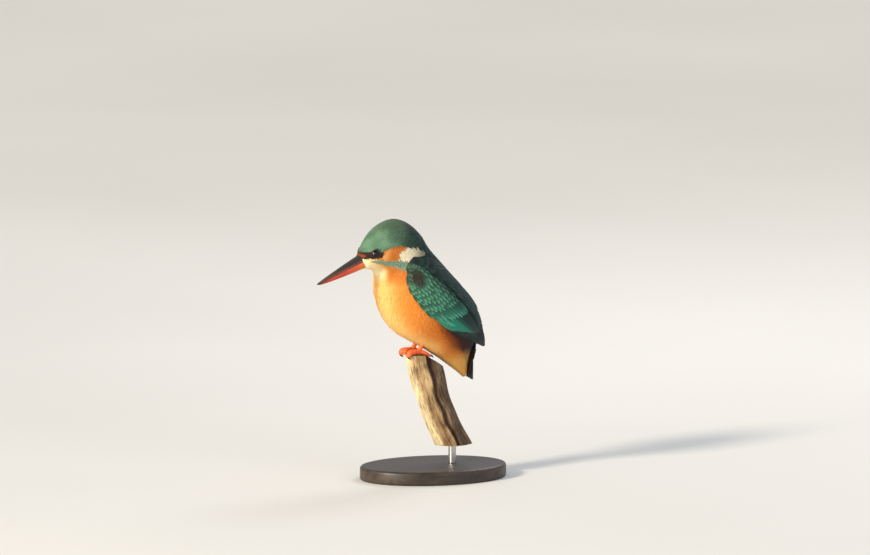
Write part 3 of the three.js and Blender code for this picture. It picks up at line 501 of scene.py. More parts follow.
def feather_colours(points):
    """Root, middle, outer and rim colours of the body's feathers at points before the head turns."""
    x, y, z = np.abs(points[..., 0]), points[..., 1], points[..., 2]
    place = points[..., 1:] + rng.uniform(-0.4, 0.4, (*x.shape, 2))
    chance = rng.uniform(-1, 1, x.shape)[..., None]
    swell = mottle(points, 7.0, 11)[..., None]
    root, middle, tip, rim = (np.empty((*x.shape, 3)) for _ in range(4))

    def share(value, low, high):
        return smoothstep(value, low, high)[..., None]

    def paint(where, at_root, at_middle, at_tip, rim_share=1.0):
        for target, value in ((root, at_root), (middle, at_middle), (tip, at_tip), (rim, at_tip * rim_share)):
            target[where] = np.broadcast_to(value, target.shape)[where]

    # The orange underparts: paler in the middle and deeper on the flanks, partly the bird's own colour and partly
    # painted light on the front; darkened to rust under the wings as painted shade; tan at the vent.
    back_from = np.interp(z, *zip(*BACK_EDGE))
    # Paler along the middle: partly the bird's own paler front, partly a painted highlight where the key light falls on
    # it.
    orange = mix(ORANGE, ORANGE_PALE, 0.85 * share(x, 20, 8))
    orange = mix(orange, ORANGE_DEEP, 0.7 * share(x, 12, 20) * share(y, -16, 12))
    orange = mix(orange, ORANGE_DEEP, 0.8 * share(y, 10, 22))
    orange = mix(orange, TAN, 0.95 * share(z, 2, -6))
    # Painted shade under the folded wing: the flank's own rufous turns rust, then dark brown near the back's edge.
    orange = mix(orange, RUST, 0.92 * share(back_from - y, 12, 2) * share(z, -2, 7) * share(x, 3, 9))
    orange = mix(orange, RUST * 0.45, 0.85 * share(back_from - y, 4, 0) * share(z, -2, 5) * share(z, 30, 24))
    orange = mix(orange, mix(ORANGE, ORANGE_DEEP, 0.6), share(z, 46, 54) * share(x, 8, 12))
    orange = mix(orange, THROAT, share(z, 48, 57) * share(x, 11, 6))
    orange = orange * (1 + 0.05 * chance)
    paint(np.full(x.shape, True), orange * 0.8, orange, mix(orange, ORANGE_PALE, 0.15 * share(y, 16, 0)))

    # The back: dark blue at the sides, darkened further as painted shade, with the azure stripe down its middle.
    middle_line = share(x, 7.5, 3.5) * share(z, 80, 62)
    mantle = mix(mix(NAVY, WING_DARK, 0.35) * 0.8, AZURE, 0.75 * middle_line) * (1 + 0.12 * chance)
    # Painted shade under the wing's tip: the lower rear sides turn dark brown.
    mantle = mix(mantle, RUST * 0.4, 0.6 * share(z, 18, 10) * share(x, 5, 10))
    mantle = mix(mantle, TAN * 0.7, share(z, 4, -3))
    paint(y > back_from + 0.9 * chance[..., 0], mix(NAVY, AZURE_DARK, 0.6 * middle_line), mantle * 0.7, mantle)

    # The crown and the nape, with pale specks, painted lighter at the front and darker towards the nape as painted
    # light and shade.
    crown_edge = np.interp(place[..., 0], *zip(*CROWN_EDGE))
    front = share(y, -6, -30)
    # lit: the crown's colour with painted light, lighter towards the front.
    lit = mix(CROWN_LIGHT * 0.25, CROWN_LIGHT, front) * (0.55 + 0.4 * swell) * (1 + 0.12 * chance)
    # Painted shade: darker towards the nape.
    behind = share(y + 0.35 * (z - 80), -12, 1)
    lit = mix(lit, CROWN_GREY, 0.55 * share(z, 81, 88))
    speck = (rng.uniform(0, 1, x.shape) > 0.6)[..., None]
    lit = mix(mix(lit, NAPE_PAINTED_SHADE, behind), CROWN_SPECK, speck * mix(0.1, 0.25, behind))
    dark = mix(NAPE_PAINTED_SHADE, CROWN_DARK, front)
    paint((place[..., 1] > crown_edge) & (y < 11) & (z > 66), dark, mix(dark, lit, 0.35), lit, 0.5)

    # The marks on the sides of the head.
    side = x > MARKINGS_FROM_X
    paint(inside_outline(place, MALAR_STRIPE) & side, MALAR * 0.6, MALAR, mix(MALAR, MALAR_LIGHT, 0.6 + 0.2 * chance))
    ear = mix(RUFOUS, ORANGE_PALE, 0.12 + 0.5 * share(y, -24, -30) + 0.06 * chance)
    ear = mix(ear, RUST, 0.5 * share(z, 72, 75) * share(y, -30, -24))
    paint(inside_outline(place, EAR) & side, ear * 0.8, ear, ear)
    white = mix(WHITE, WHITE_DULL, share(y, -13, 3) * 0.9)
    paint(inside_outline(place, WHITE_PATCH) & side, white * 0.85, white, white * (1 + 0.04 * chance))
    paint(inside_outline(place, LORE), LORE_DARK * 0.6, LORE_DARK, LORE_DARK * (1.3 + 0.4 * chance))
    spot = np.linalg.norm((place - LORE_SPOT_PLACE) / LORE_SPOT_REACH, axis=-1) < 1
    paint(spot, LORE_SPOT * 0.6, LORE_SPOT, mix(LORE_SPOT, RUFOUS, 0.15))
    return root, middle, tip, rim


def colours_along(root, middle, tip, rim):
    """Colours along a vane from four colours for each vane, and a little darker towards its edges."""

    def at(s, c):
        shade = root[:, None, None]
        for target, span in ((middle, (0.1, 0.5)), (tip, (0.45, 0.75)), (rim, (0.85, 1))):
            shade = mix(shade, target[:, None, None], smoothstep(s, *span)[..., None])
        return shade * (1 - EDGE_DARKER * np.abs(c)[..., None] ** 2)

    return at


# ---------------------------------------------------------------- materials


class Look:
    """A procedural material in the making."""

    def __init__(self, name):
        self.made = bpy.data.materials.new(name)
        self.made.use_nodes = True

    def feed(self, node, inputs):
        """Sets a node's inputs, by their names or numbers, to links or to values."""
        for key, value in inputs.items():
            if isinstance(value, bpy.types.NodeSocket):
                self.made.node_tree.links.new(value, node.inputs[key])
            else:
                node.inputs[key].default_value = value

    def node(self, kind, inputs=(), output=0, **settings):
        """One output of a new node."""
        node = self.made.node_tree.nodes.new(f"ShaderNode{kind}")
        for key, value in settings.items():
            setattr(node, key, value)
        self.feed(node, dict(inputs))
        return node.outputs[output]

    def math(self, operation, *values):
        return self.node("Math", enumerate(values), operation=operation)

    def times(self, *colours):
        """The product of colours or vectors."""
        product = colours[0]
        for other in colours[1:]:
            product = self.node("VectorMath", {0: product, 1: other}, operation="MULTIPLY")
        return product

    def shade(self, factor=None):
        """The colours that the piece's points carry, scaled by a number."""
        shade = self.node("Attribute", attribute_name="Shade")
        return shade if factor is None else self.node("VectorMath", {0: shade, "Scale": factor}, operation="SCALE")

    def vane(self):
        """How far across and along each feather, or round and along each bar, a point is."""
        return self.node("UVMap", uv_map="Vane")

    def place(self):
        return self.node("TexCoord", output="Object")

    def noise(self, vector, scale, detail, stretch=None, **more):
        if stretch:
            vector = self.node("Mapping", {"Vector": vector, "Scale": stretch})
        return self.node("TexNoise", {"Vector": vector, "Scale": scale, "Detail": detail, **more})

    def between(self, value, low, high):
        return self.node("MapRange", {"Value": value, "To Min": low, "To Max": high})

    def ramp(self, value, *stops):
        """Colours over a number, by pairs of a number and a colour."""
        node = self.made.node_tree.nodes.new("ShaderNodeValToRGB")
        elements = node.color_ramp.elements
        while len(elements) < len(stops):
            elements.new(0.5)
        for element, (at, shade) in zip(elements, stops):
            element.position = at
            element.color = (*shade, 1)
        self.feed(node, {0: value})
        return node.outputs[0]

    def finish(self, colour, roughness, relief=None, **more):
        """The material. Relief is a height, a strength and a distance; more inputs have _ for the spaces in a name."""
        inputs = {"Base Color": colour, "Roughness": roughness}
        inputs.update((name.replace("_", " "), value) for name, value in more.items())
        if relief:
            inputs["Normal"] = self.node("Bump", dict(zip(("Height", "Strength", "Distance"), relief)))
        self.feed(self.made.node_tree.nodes["Principled BSDF"], inputs)
        return self.made


def plumage(name, barbs, roughness, sheen=0.0, specular=0.4, variation=0.25, bump=0.35, coat=0.0):
    """Feathers: each vane's own colours, with a shaft and slanting barbs as fine streaks and relief."""
    look = Look(name)
    vane = look.vane()
    across, ahead = (look.node("SeparateXYZ", {0: vane}, output) for output in (0, 1))
    out = look.math("ABSOLUTE", look.math("SUBTRACT", across, 0.5))
    slant = look.math("SUBTRACT", ahead, look.math("MULTIPLY", out, 0.7))
    patch = look.noise(look.place(), 900.0, 2.0)
    wobble = look.math("MULTIPLY", patch, 2.5)
    stripes = look.math("SINE", look.math("MULTIPLY_ADD", slant, barbs * 6.283, wobble))
    shaft = look.math("LESS_THAN", out, 0.035)
    relief = look.math("MULTIPLY_ADD", stripes, 0.35, shaft)
    uneven = look.math("MULTIPLY_ADD", patch, variation * 2, 1 - variation)
    factor = look.math("MULTIPLY_ADD", stripes, variation * 0.35, uneven)
    return look.finish(look.shade(factor), roughness, (relief, bump, 0.00012), Specular_IOR_Level=specular,
                       Sheen_Weight=sheen, Sheen_Roughness=0.4, Coat_Weight=coat, Coat_Roughness=0.45)


def horn(name, streak, roughness, bump):
    """Bill or claw: shaded horn with long fine streaks, rubbed a little paler in patches."""
    look = Look(name)
    fine = look.noise(look.vane(), 3.0, 5.0, (streak, 3.0, 1.0))
    patches = look.noise(look.place(), 260.0, 3.0)
    factor = look.math("MULTIPLY_ADD", look.math("ADD", fine, patches), 0.7, 0.3)
    rough = look.between(patches, roughness - 0.1, roughness + 0.15)
    return look.finish(look.shade(factor), rough, (fine, bump, 0.0002))


def scaly_skin(name, size, roughness):
    """Bare skin with small scales, such as a bird's toes."""
    look = Look(name)
    place = look.place()
    scales = look.node("TexVoronoi", {"Vector": place, "Scale": 1 / size})
    crack = look.math("POWER", look.math("MULTIPLY", scales, 1.25), 3.0)
    darker = look.math("MULTIPLY_ADD", crack, -0.25, 1.0)
    uneven = look.math("MULTIPLY_ADD", look.noise(place, 500.0, 3.0), 0.6, 0.7)
    sunk = look.math("MULTIPLY", crack, -1.0)
    return look.finish(look.shade(look.math("MULTIPLY", darker, uneven)), roughness, (sunk, 0.35, 0.0002),
                       Subsurface_Weight=0.15, Subsurface_Radius=(0.002, 0.0008, 0.0004), Subsurface_Scale=0.5)


def eye_gloss(name):
    """A dark wet eye: a black pupil in a very dark brown iris with faint streaks."""
    look = Look(name)
    factor = look.math("ADD", look.noise(look.place(), 1500.0, 2.0), 0.5)
    return look.finish(look.shade(factor), 0.2, Coat_Weight=1.0, Coat_Roughness=0.03, Coat_IOR=1.36,
                       Specular_IOR_Level=0.05)


def bark(name):
    """A dry bare stem: pale fibres running along it, weathered grey-brown patches and dark cracks."""
    look = Look(name)
    vane, place = look.vane(), look.place()
    fibre = look.noise(vane, 2.5, 7.0, (26.0, 5.0, 1.0), Roughness=0.6, Distortion=0.3)
    lines = look.ramp(fibre, (0.3, (0.3, 0.24, 0.19)), (0.46, (0.85, 0.8, 0.74)), (0.7, (1.2, 1.17, 1.1)))
    weather = look.ramp(look.noise(place, 85.0, 5.0), (0.36, (0.62, 0.56, 0.5)), (0.62, (1.15, 1.1, 1.0)))
    thin = look.noise(vane, 2.0, 4.0, (70.0, 5.0, 1.0), Roughness=0.5)
    split = look.ramp(thin, (0.34, (0.4, 0.4, 0.4)), (0.42, (1.0, 1.0, 1.0)))
    height = look.math("MULTIPLY_ADD", look.noise(place, 1400.0, 4.0), 0.25, fibre)
    height = look.math("MULTIPLY_ADD", split, 0.5, height)
    shade = look.times(lines, split, weather, look.shade())
    return look.finish(shade, 0.88, (height, 0.8, 0.0007), Specular_IOR_Level=0.25)


def stained_wood(name):
    """A display base of dark stained wood with a satin finish: grain along its length."""
    look = Look(name)
    grain = look.noise(look.place(), 3.0, 8.0, (55.0, 7.0, 55.0), Roughness=0.62, Distortion=0.6)
    tones = ((0.3, (0.018, 0.012, 0.009)), (0.5, (0.04, 0.026, 0.018)), (0.72, (0.075, 0.048, 0.032)))
    return look.finish(look.ramp(grain, *tones), look.between(grain, 0.34, 0.5), (grain, 0.12, 0.0003))


def brushed_metal(name):
    """A brushed steel rod with fine rings from turning."""
    look = Look(name)
    lines = look.noise(look.place(), 1.0, 3.0, (200.0, 200.0, 9000.0))
    tones = ((0.3, (0.45, 0.45, 0.46)), (0.7, (0.68, 0.68, 0.69)))
    return look.finish(look.ramp(lines, *tones), 0.32, (lines, 0.15, 0.0001), Metallic=1.0)


def pale_floor(name):
    """Pale matt paper, very slightly uneven."""
    look = Look(name)
    tones = ((0.3, (0.70, 0.69, 0.67)), (0.7, (0.74, 0.73, 0.71)))
    return look.finish(look.ramp(look.noise(look.place(), 2.0, 2.0), *tones), 0.85)


# ---------------------------------------------------------------- body

BODY_OVERLAP = 0.5  # of the angle, past the belly's middle line on both sides
BODY_ANGLES = (-math.pi - BODY_OVERLAP, math.pi + BODY_OVERLAP)
body_surface = Surface(body_point, (0, BODY_END), BODY_ANGLES, (420, 260), -1)

COLUMNS = 168  # of feathers round the body
SHOWN_SHARE = 0.75  # of a feather's length, where the part of it that shows is
BARE_RADIUS = 2.95  # of the bare ring round each eye

# Spacing, length and half width of the small feathers, by station from the bill to the vent.
FEATHER_STATIONS = [0, 1.5, 3.5, 6, 8, 10, 13, 17]
FEATHER_SPACING = [0.5, 0.62, 0.78, 1.05, 1.3, 1.4, 1.4, 1.3]
FEATHER_LENGTH = [1.4, 2.3, 3.2, 4.8, 6.2, 7.0, 7.4, 6.4]
FEATHER_HALF = [0.3, 0.4, 0.5, 0.66, 0.8, 0.86, 0.86, 0.8]
COATS = {"face": (0, 2.2), "crown": (2.2, 3.7), "head": (3.7, 5.4), "neck": (5.4, 7.6), "breast": (7.6, 9.8),
         "belly": (9.8, 12.4), "rear": (12.4, 99)}


def eye_centre(side):
    surface = np.array([float(side_of(*EYE_PLACE)), *EYE_PLACE])
    return turned((surface + EYE_LOOK * (EYE_STANDS_OUT - EYE_RADIUS)) * (side, 1, 1))


def eye_look(side):
    x, y, z = EYE_LOOK * (side, 1, 1)
    return np.array([*turn_by(x, y, HEAD_TURN), z])


def body_skin():
    """One skin under the feathers of the head, neck and torso, with their markings."""
    angles = np.linspace(-math.pi, math.pi, 121)[:-1]
    t, angle = np.meshgrid(np.linspace(0, BODY_END, 150), angles, indexing="ij")
    points = body_point(t, angle, -np.minimum(SKIN_DEPTH, 0.3 + 1.6 * t))
    root, middle, _tip, _rim = feather_colours(body_unturned(t, angle))
    batch = turned_over(grid_batch(points, 0.5 * (root + middle)))
    piece("skin", [batch], plumage("skin_down", 20, 0.8, sheen=0.3), ("head", "neck", "torso"))


def tuft_outline(s):
    """A small feather's half width along its length: widest before its middle, then drawn out to a point."""
    return (0.5 + 0.5 * smoothstep(s, 0, 0.35)) * (1.02 - smoothstep(s, 0.4, 1.05)) ** 0.8


def feather_places():
    """Roots of the body's small feathers: columns round the body, each filled along its own length, staggered."""
    t = np.linspace(0.02, BODY_END, 900)
    spacing = np.interp(t, FEATHER_STATIONS, FEATHER_SPACING)
    places = []
    for column in range(COLUMNS):
        angle = -math.pi + FULL_TURN * (column + 0.5) / COLUMNS
        stretch = body_surface.read(t, np.full_like(t, angle))[:, 6:8]
        passed = np.concatenate([[0], np.cumsum(np.diff(t) * stretch[1:, 0] / spacing[1:])])
        count = np.arange(0.1 + 0.5 * (column % 2), passed[-1], 1.0)
        count = count + rng.uniform(-0.22, 0.22, len(count))
        at = np.interp(count, passed, t)
        # Where the columns run close together, only every second or fourth keeps its feathers.
        crowding = np.interp(at, t, stretch[:, 1]) * FULL_TURN / COLUMNS / np.interp(at, FEATHER_STATIONS, FEATHER_HALF)
        kept = column % np.where(crowding < 0.3, 4, np.where(crowding < 0.62, 2, 1)) == 0
        jitter = rng.uniform(-0.3, 0.3, len(at)) * FULL_TURN / COLUMNS
        places.append(np.stack([at, angle + jitter], -1)[kept])
    return np.concatenate(places).T


def wing_cover():
    """The outline of the part of the side view that the folded wings hide."""
    low_y, low_z, high_y, high_z = columns_along(WING, np.linspace(0.04, 0.8, 30) * WING_END)
    lower, upper = (np.stack([mix(low_y, high_y, v), mix(low_z, high_z, v)], -1) for v in (0.12, 0.84))
    return np.concatenate([lower, upper[::-1]])


def body_coat():
    """The small feathers of the head, neck and torso, in pieces from the bill back."""
    t, angle = feather_places()
    before = body_unturned(t, angle)
    at = body_point(t, angle)
    hidden = inside_outline(before[:, 1:], wing_cover()) & (np.abs(before[:, 0]) > 5)
    length = np.interp(t, FEATHER_STATIONS, FEATHER_LENGTH) * rng.uniform(0.85, 1.15, len(t))
    half = np.interp(t, FEATHER_STATIONS, FEATHER_HALF) * rng.uniform(0.85, 1.15, len(t))
    ahead = unit(body_surface.read(t + 0.05, angle)[:, :3] - body_surface.read(t, angle)[:, :3])
    for side in (1, -1):  # none grow on the bare rings, and those that point at an eye stop short of it
        eye = eye_centre(side) + EYE_RADIUS * eye_look(side) * 0.7
        gap = np.linalg.norm(at - eye, axis=1)
        hidden |= gap < BARE_RADIUS
        towards = np.einsum("ij,ij->i", ahead, unit(eye - at))
        near = (gap < BARE_RADIUS + length) & (towards > 0.55)
        length = np.where(near, np.maximum(gap - BARE_RADIUS + 0.3, 0.4), length)
    t, angle, length, half = (v[~hidden] for v in (t, angle, length, half))
    stretch = body_surface.read(t, angle)[:, 6]
    colours = feather_colours(body_unturned(np.minimum(t + SHOWN_SHARE * length / stretch, BODY_END), angle))
    heading = rng.uniform(-0.14, 0.14, len(t))
    low = -np.minimum(SKIN_DEPTH + 0.1, 0.25 + 1.6 * t)
    high = rng.uniform(0.0, 0.16, len(t)) * np.minimum(1, 0.35 + 0.4 * t)
    for name, (first, last) in COATS.items():
        here = (t >= first) & (t < last)
        p, q, long, wide, sunk, raised, turn = (v[here] for v in (t, angle, length, half, low, high, heading))
        shades = colours_along(*(v[here] for v in colours))
        batch = lay(body_surface, p, q, long, wide, (sunk, raised), shades, (6, 3), turn, tuft_outline,
                    camber=0.07, thickness=0.08, smooth=0.6)
        look = plumage(f"coat_{name}", 12, 0.65, sheen=0.1, specular=0.25, variation=0.1, bump=0.2)
        piece(f"coat_{name}", [batch], look)


# ---------------------------------------------------------------- wings

wing_surface = Surface(wing_point, (-0.08, 1.0), (-0.12, 1.12), (270, 130), 1)
TIPS_JITTER = 0.008
WING_COLUMNS = 7  # of points across each feather
WING_CELLS = 18  # in each row of the baked map, one for each feather

# Tiers of feathers: their kind, their number, the rows of points on each, their half widths from the lowest feather to
# the uppermost, their heights from root to tip, and where on the wing their roots and their tips are, from the lowest.
WING_TIERS = [
    ("quill", 10, 18, (1.9, 2.4), (-0.6, 0.15), [(0.42, 0.1), (0.4, 0.5)],
     [(0.9, 0.02), (0.955, 0.1), (1.0, 0.2), (0.985, 0.52), (0.95, 0.76), (0.905, 0.84), (0.86, 0.82)]),
    ("flight", 13, 18, (1.7, 2.2), (-0.3, 0.5), [(0.3, 0.1), (0.28, 0.66)],
     [(0.62, 0.06), (0.68, 0.17), (0.73, 0.3), (0.77, 0.44), (0.8, 0.58), (0.82, 0.69), (0.83, 0.79)]),
    ("flight", 4, 16, (2.6, 2.7), (0.0, 0.85), [(0.26, 0.74), (0.24, 0.88)],
     [(0.81, 0.84), (0.77, 0.91), (0.72, 0.97)]),
    ("covert", 7, 10, (1.3, 1.4), (-0.2, 0.7), [(0.24, 0.06), (0.24, 0.17)],
     [(0.46, 0.06), (0.52, 0.1), (0.57, 0.17)]),
    ("covert", 11, 10, (1.9, 2.2), (0.0, 0.95), [(0.3, 0.1), (0.3, 0.86)],
     [(0.47, 0.1), (0.505, 0.27), (0.525, 0.4), (0.535, 0.55), (0.53, 0.68), (0.51, 0.84)]),
]
COVERT_ROWS = 13
FIRST_ROOT = -0.06  # no small covert's root is farther forward
for row in range(COVERT_ROWS):  # the smaller coverts like scales, from the greater coverts up to the wing's bend
    u = 0.455 - 0.036 * row
    shift = 0.04 * (row % 2)
    small = row / (COVERT_ROWS - 1)
    front = 0.03 if row < 9 else 0.07
    roots = [(max(u - 0.115, FIRST_ROOT), front + 0.01 + shift), (max(u - 0.1, FIRST_ROOT), 0.92 + shift)]
    tips = [(u - 0.035, front + shift), (u, 0.3 + shift), (u + 0.005, 0.62 + shift), (u - 0.02, 0.93 + shift)]
    half = (2.1 - 0.5 * small, 2.2 - 0.5 * small)
    WING_TIERS.append(("covert", 14 - row // 3, 8, half, (0.15, 0.6 + 0.2 * small), roots, tips))
for row in range(6):  # the scapulars, over the wing's upper edge
    roots = [(0.5 - 0.08 * row, 0.8), (0.34 - 0.06 * row, 1.0)]
    tips = [(0.66 - 0.075 * row, 0.8), (0.63 - 0.075 * row, 0.9), (0.56 - 0.075 * row, 1.02)]
    WING_TIERS.append(("scapular", 7, 10, (2.2, 2.0), (0.4 + 0.08 * row, 0.95 + 0.08 * row), roots, tips))
for row in range(4):  # the small feathers over the roots of the scapulars, up to the shoulder
    u = 0.25 - 0.055 * row
    roots = [(max(u - 0.1, FIRST_ROOT), 0.76), (max(u - 0.12, FIRST_ROOT), 1.02)]
    tips = [(u + 0.01, 0.75), (u, 0.88), (u - 0.03, 1.03)]
    half = (1.8 - 0.12 * row, 1.6 - 0.12 * row)
    WING_TIERS.append(("scapular", 7, 9, half, (0.5, 1.35 + 0.04 * row), roots, tips))
BEND_SPOT = np.array([0.14, 0.36])  # the middle of the patch where the feathers near the wing's bend are painted dark brown
BEND_SPOT_REACH = (0.1, 0.24)
# How ragged and how arched their tips are, their tilt, camber and thickness, how far the shading keeps to the wing's
# surface, and their outline.
LONG_VANE = (0.015, 0.02, 0.34, 0.16, 0.22, 0.25, (0.6, 0.3, 0.72))
SHORT_VANE = (0.04, 0.16, 0.08, 0.08, 0.14, 0.7, (0.7, 0.35, 0.7, 1.12))


def wing_shading(kind, tips):
    """Colours over wing feathers, by their kind and by where on the wing they end."""
    count = len(tips)
    u, v = tips.T

    def column(values):
        return np.asarray(values)[:, None, None, None]

    chance = column(rng.uniform(0.88, 1.12, count))
    swell = column(mottle(np.stack([90 * u, 25 * v, 0 * u], -1), 9.0, 5))
    back = column(smoothstep(u, 0.25, 0.75))
    # up: painted shade, turning the wing navy towards its upper edge and, near the tip, towards its rear.
    up = column(smoothstep(v + 0.25 * smoothstep(u, 0.6, 0.8), 0.45, 0.85))
    # front: painted light, the warm olive tint of sunlight near the wing's bend.
    front = column(smoothstep(u, 0.28, 0.02) * smoothstep(v, 0.8, 0.3))
    from_spot = np.linalg.norm((tips - BEND_SPOT) / BEND_SPOT_REACH, axis=-1)
    brown = column(rng.uniform(0.88, 1.0, count) * smoothstep(from_spot, 1.15, 0.6))
    green = mix(mix(mix(WING_GREEN, WING_TEAL, back), WING_SUNLIT_OLIVE, 0.7 * front), NAVY, 0.88 * up)
    green = mix(green * chance * (0.8 + 0.4 * swell), WING_BROWN, brown)
    dark = mix(mix(WING_DARK, NAVY * 0.7, up), WING_BROWN * 0.4, brown)

    def at(s, c):
        s, c = s[..., None], c[..., None]
        if kind == "quill":
            edge = mix(QUILL_DARK, WING_DARK, 0.7) * chance
            return mix(mix(QUILL_DARK, edge, smoothstep(c, 0.1, 0.8)), QUILL_DARK, smoothstep(s, 0.7, 1))
        if kind == "flight":
            shaft = np.exp(-((c / 0.12) ** 2))
            web = mix(dark, green, 0.25 + 0.75 * smoothstep(c, -0.3, 0.6) * smoothstep(c, 1.1, 0.8))
            return mix(mix(web, QUILL_DARK, 0.4 * shaft), dark, 0.6 * smoothstep(s, 0.9, 1))
        web = mix(dark, green, 0.35 + 0.65 * smoothstep(s, 0.45, 0.8))
        if kind == "scapular":
            # The scapulars are darkened further as painted shade.
            return mix(0.7 * web, WING_TEAL, 0.12 * smoothstep(s, 0.6, 0.9) * smoothstep(np.abs(c), 0.9, 0.2))
        spot = smoothstep(s, 0.7, 0.88) * smoothstep(np.abs(c), 0.6, 0.1)
        spot = (0.42 - 0.2 * front) * spot * (1 - 0.85 * up) * (1 - brown)
        return mix(mix(web, dark, 0.6 * np.abs(c) ** 2), WING_SPOT, spot)

    return at


def wing_feathers():
    """Every feather of the left wing, tier by tier, each with a patch of its own in the baked map."""
    batches, number = [], 0
    for kind, count, rows, half, lift, roots, tips in WING_TIERS:
        share = np.linspace(0, 1, count)
        stagger = rng.uniform(-0.15, 0.15, count) / count
        first = mix(np.array(roots[0]), np.array(roots[1]), (share + stagger)[:, None])
        last = along(tips, share * (len(tips) - 1))
        last = last + rng.uniform(-TIPS_JITTER, TIPS_JITTER, last.shape)
        cell = cell_middles(number + np.arange(count), WING_CELLS)
        wide = mix(*half, share) * rng.uniform(0.95, 1.05, count)
        batches.append(wing_vanes(kind, first, last, wide, lift, rows, cell))
        number += count
    return batches


def wing_vanes(kind, roots, tips, half, lift, rows, cell):
    """Vanes that run straight from root to tip over the wing's two numbers."""
    long = kind in ("quill", "flight")
    ragged, arched, tilt, camber, thickness, smooth, shape = LONG_VANE if long else SHORT_VANE
    s, c = vane_grid(rows, WING_COLUMNS)
    forward = s + ragged * rng.uniform(-1, 1, (len(roots), 1, WING_COLUMNS)) * smoothstep(s, 0.8, 1)
    forward = forward * (1 - arched * c**2)
    step = (tips - roots)[:, None, None]
    line = roots[:, None, None] + step * forward[..., None]
    spine = wing_surface.read(line[..., 0], line[..., 1])
    ahead = wing_surface.read(line[..., 0] + 0.02 * step[..., 0], line[..., 1] + 0.02 * step[..., 1])
    normal = spine[..., 3:6]
    across = unit(np.cross(unit(ahead[..., :3] - spine[..., :3]), normal))  # towards the wing's lower edge
    outline = round_outline(s, *shape)
    height = mix(*lift, s**0.8) + tilt * c * outline - camber * c**2 * outline
    points = spine[..., :3] + across * (half[:, None, None] * c * outline)[..., None] + normal * height[..., None]
    shades = wing_shading(kind, tips)(s, c)
    return closed_vanes(points, normal, thickness, shades, cell, 0.9 / WING_CELLS, smooth)


def wing_base():
    """The closed sheet under the wing's feathers, dark between them."""
    rings = []
    for u in np.linspace(0.03, 0.9, 40):
        margin = mix(0.02, 0.24, smoothstep(u, 0.55, 0.9))
        v = np.linspace(margin, 1 - margin, 16)
        found = wing_surface.read(np.full_like(v, u), v)
        depth = mix(1.6, 0.7, smoothstep(u, 0.5, 0.82))
        outer, inner = (found[:, :3] - deep * found[:, 3:6] for deep in (0.25, depth))
        rings.append(np.concatenate([outer, inner[::-1]]))
    rings = np.array(rings)
    spots = np.full((*rings.shape[:2], 2), 0.995)  # in the corner of the baked map that no feather has
    return orient(grid_batch(rings, WING_DARK * 0.5, spots), rings[20].mean(0))


def wings():
    feathers = [wing_base(), *wing_feathers()]
    for side, batches in (("left", feathers), ("right", [mirrored(batch) for batch in feathers])):
        look = plumage(f"wing_{side}_plumage", 26, 0.5, specular=0.3, variation=0.15, bump=0.3, coat=0.05)
        piece(f"wing_{side}_feathers", batches, look, (f"wing_{side}",))


# ---------------------------------------------------------------- tail

TAIL_ROOT = np.array([42.4, 16.0])
TAIL_TIP = np.array([41.9, -19.4])
TAIL_HALF_SPAN = 6.6
TAIL_PAIRS = 6
TAIL_STACK = 1.5
QUILLS_FROM = 10.0  # down from the tail's root, where they come out of the plumage

# Tail coverts: the sheets they hang on, the way they face, their rows, length, half width, half spans and two colours.
# Those under the tail are painted dark brown as shade.
COVERTS = {
    "uppertail_coverts": ((46.6, 19.5), (42.8, -6.5), 0.036, 1, 8, 9.0, 1.4, (6.6, 3.2), (AZURE_DARK * 0.7, AZURE)),
    "undertail_coverts": ((42.2, 5.0), (40.7, -15.5), -0.015, -1, 6, 9.5, 1.5, (4.4, 2.6), (PAINTED_SHADE_BROWN * 0.4, PAINTED_SHADE_BROWN * 0.6)),
    "vent_coverts": ((40.4, 2.0), (38.9, -16.2), -0.08, -1, 7, 7.5, 1.4, (5.2, 2.8), (PAINTED_SHADE_BROWN * 0.4, PAINTED_SHADE_BROWN * 0.7)),
}
COVERT_CELLS = 10  # in each row of the baked map


def hanging(start, end, bow, facing):
    """A sheet hung from one side-view point to another, facing back (1) or forward; p runs down it, q to the left."""
    length = float(np.hypot(*(end - start)))
    heading = (end - start) / length
    outward = np.array([-heading[1], heading[0]])

    def point_of(p, q):
        place = start + heading * p[..., None] - outward * (bow * q[..., None] ** 2)
        return np.stack([q, place[..., 0], place[..., 1]], -1)

    return Surface(point_of, (0.0, length), (-14.0, 14.0), (60, 60), -facing), length


def tail():
    """The tail's quills, with the middle pair uppermost."""
    sheet, length = hanging(TAIL_ROOT, TAIL_TIP, 0.012, 1)
    batches = []
    for rank in range(TAIL_PAIRS)[::-1]:
        share = (rank + 0.5) / TAIL_PAIRS
        for side in (1, -1):
            q = side * (3.4 * share + 0.4)
            reach = length - QUILLS_FROM - 0.3 - 1.6 * share**2
            heading = math.atan2(side * TAIL_HALF_SPAN * share - q, reach)
            level = TAIL_STACK * (0.62 - share)
            chance = rng.uniform(0.9, 1.1)

            def shading(s, c, side=side, chance=chance):
                web = mix(QUILL_DARK, TAIL_BLUE, 0.85 * smoothstep(side * c, -0.6, 0.5)[..., None])
                return chance * mix(web, QUILL_DARK, 0.4 * smoothstep(s, 0.85, 1)[..., None])

            cell = np.array([[0.1 + 0.15 * rank, 0.25 + 0.5 * (side > 0)]])
            batches.append(lay(
                sheet, np.array([QUILLS_FROM]), np.array([q]), reach, 2.3, (level, level), shading, (16, 7), heading,
                lambda s: round_outline(s, 0.8, 0.3, 0.86), camber=0.2, thickness=0.3, tilt=-0.18 * side,
                fringe=0.015, bake=(cell, 0.13),
            ))
    look = plumage("tail_plumage", 30, 0.5, specular=0.45, bump=0.3, coat=0.15)
    piece("tail_feathers", batches, look, ("tail",))


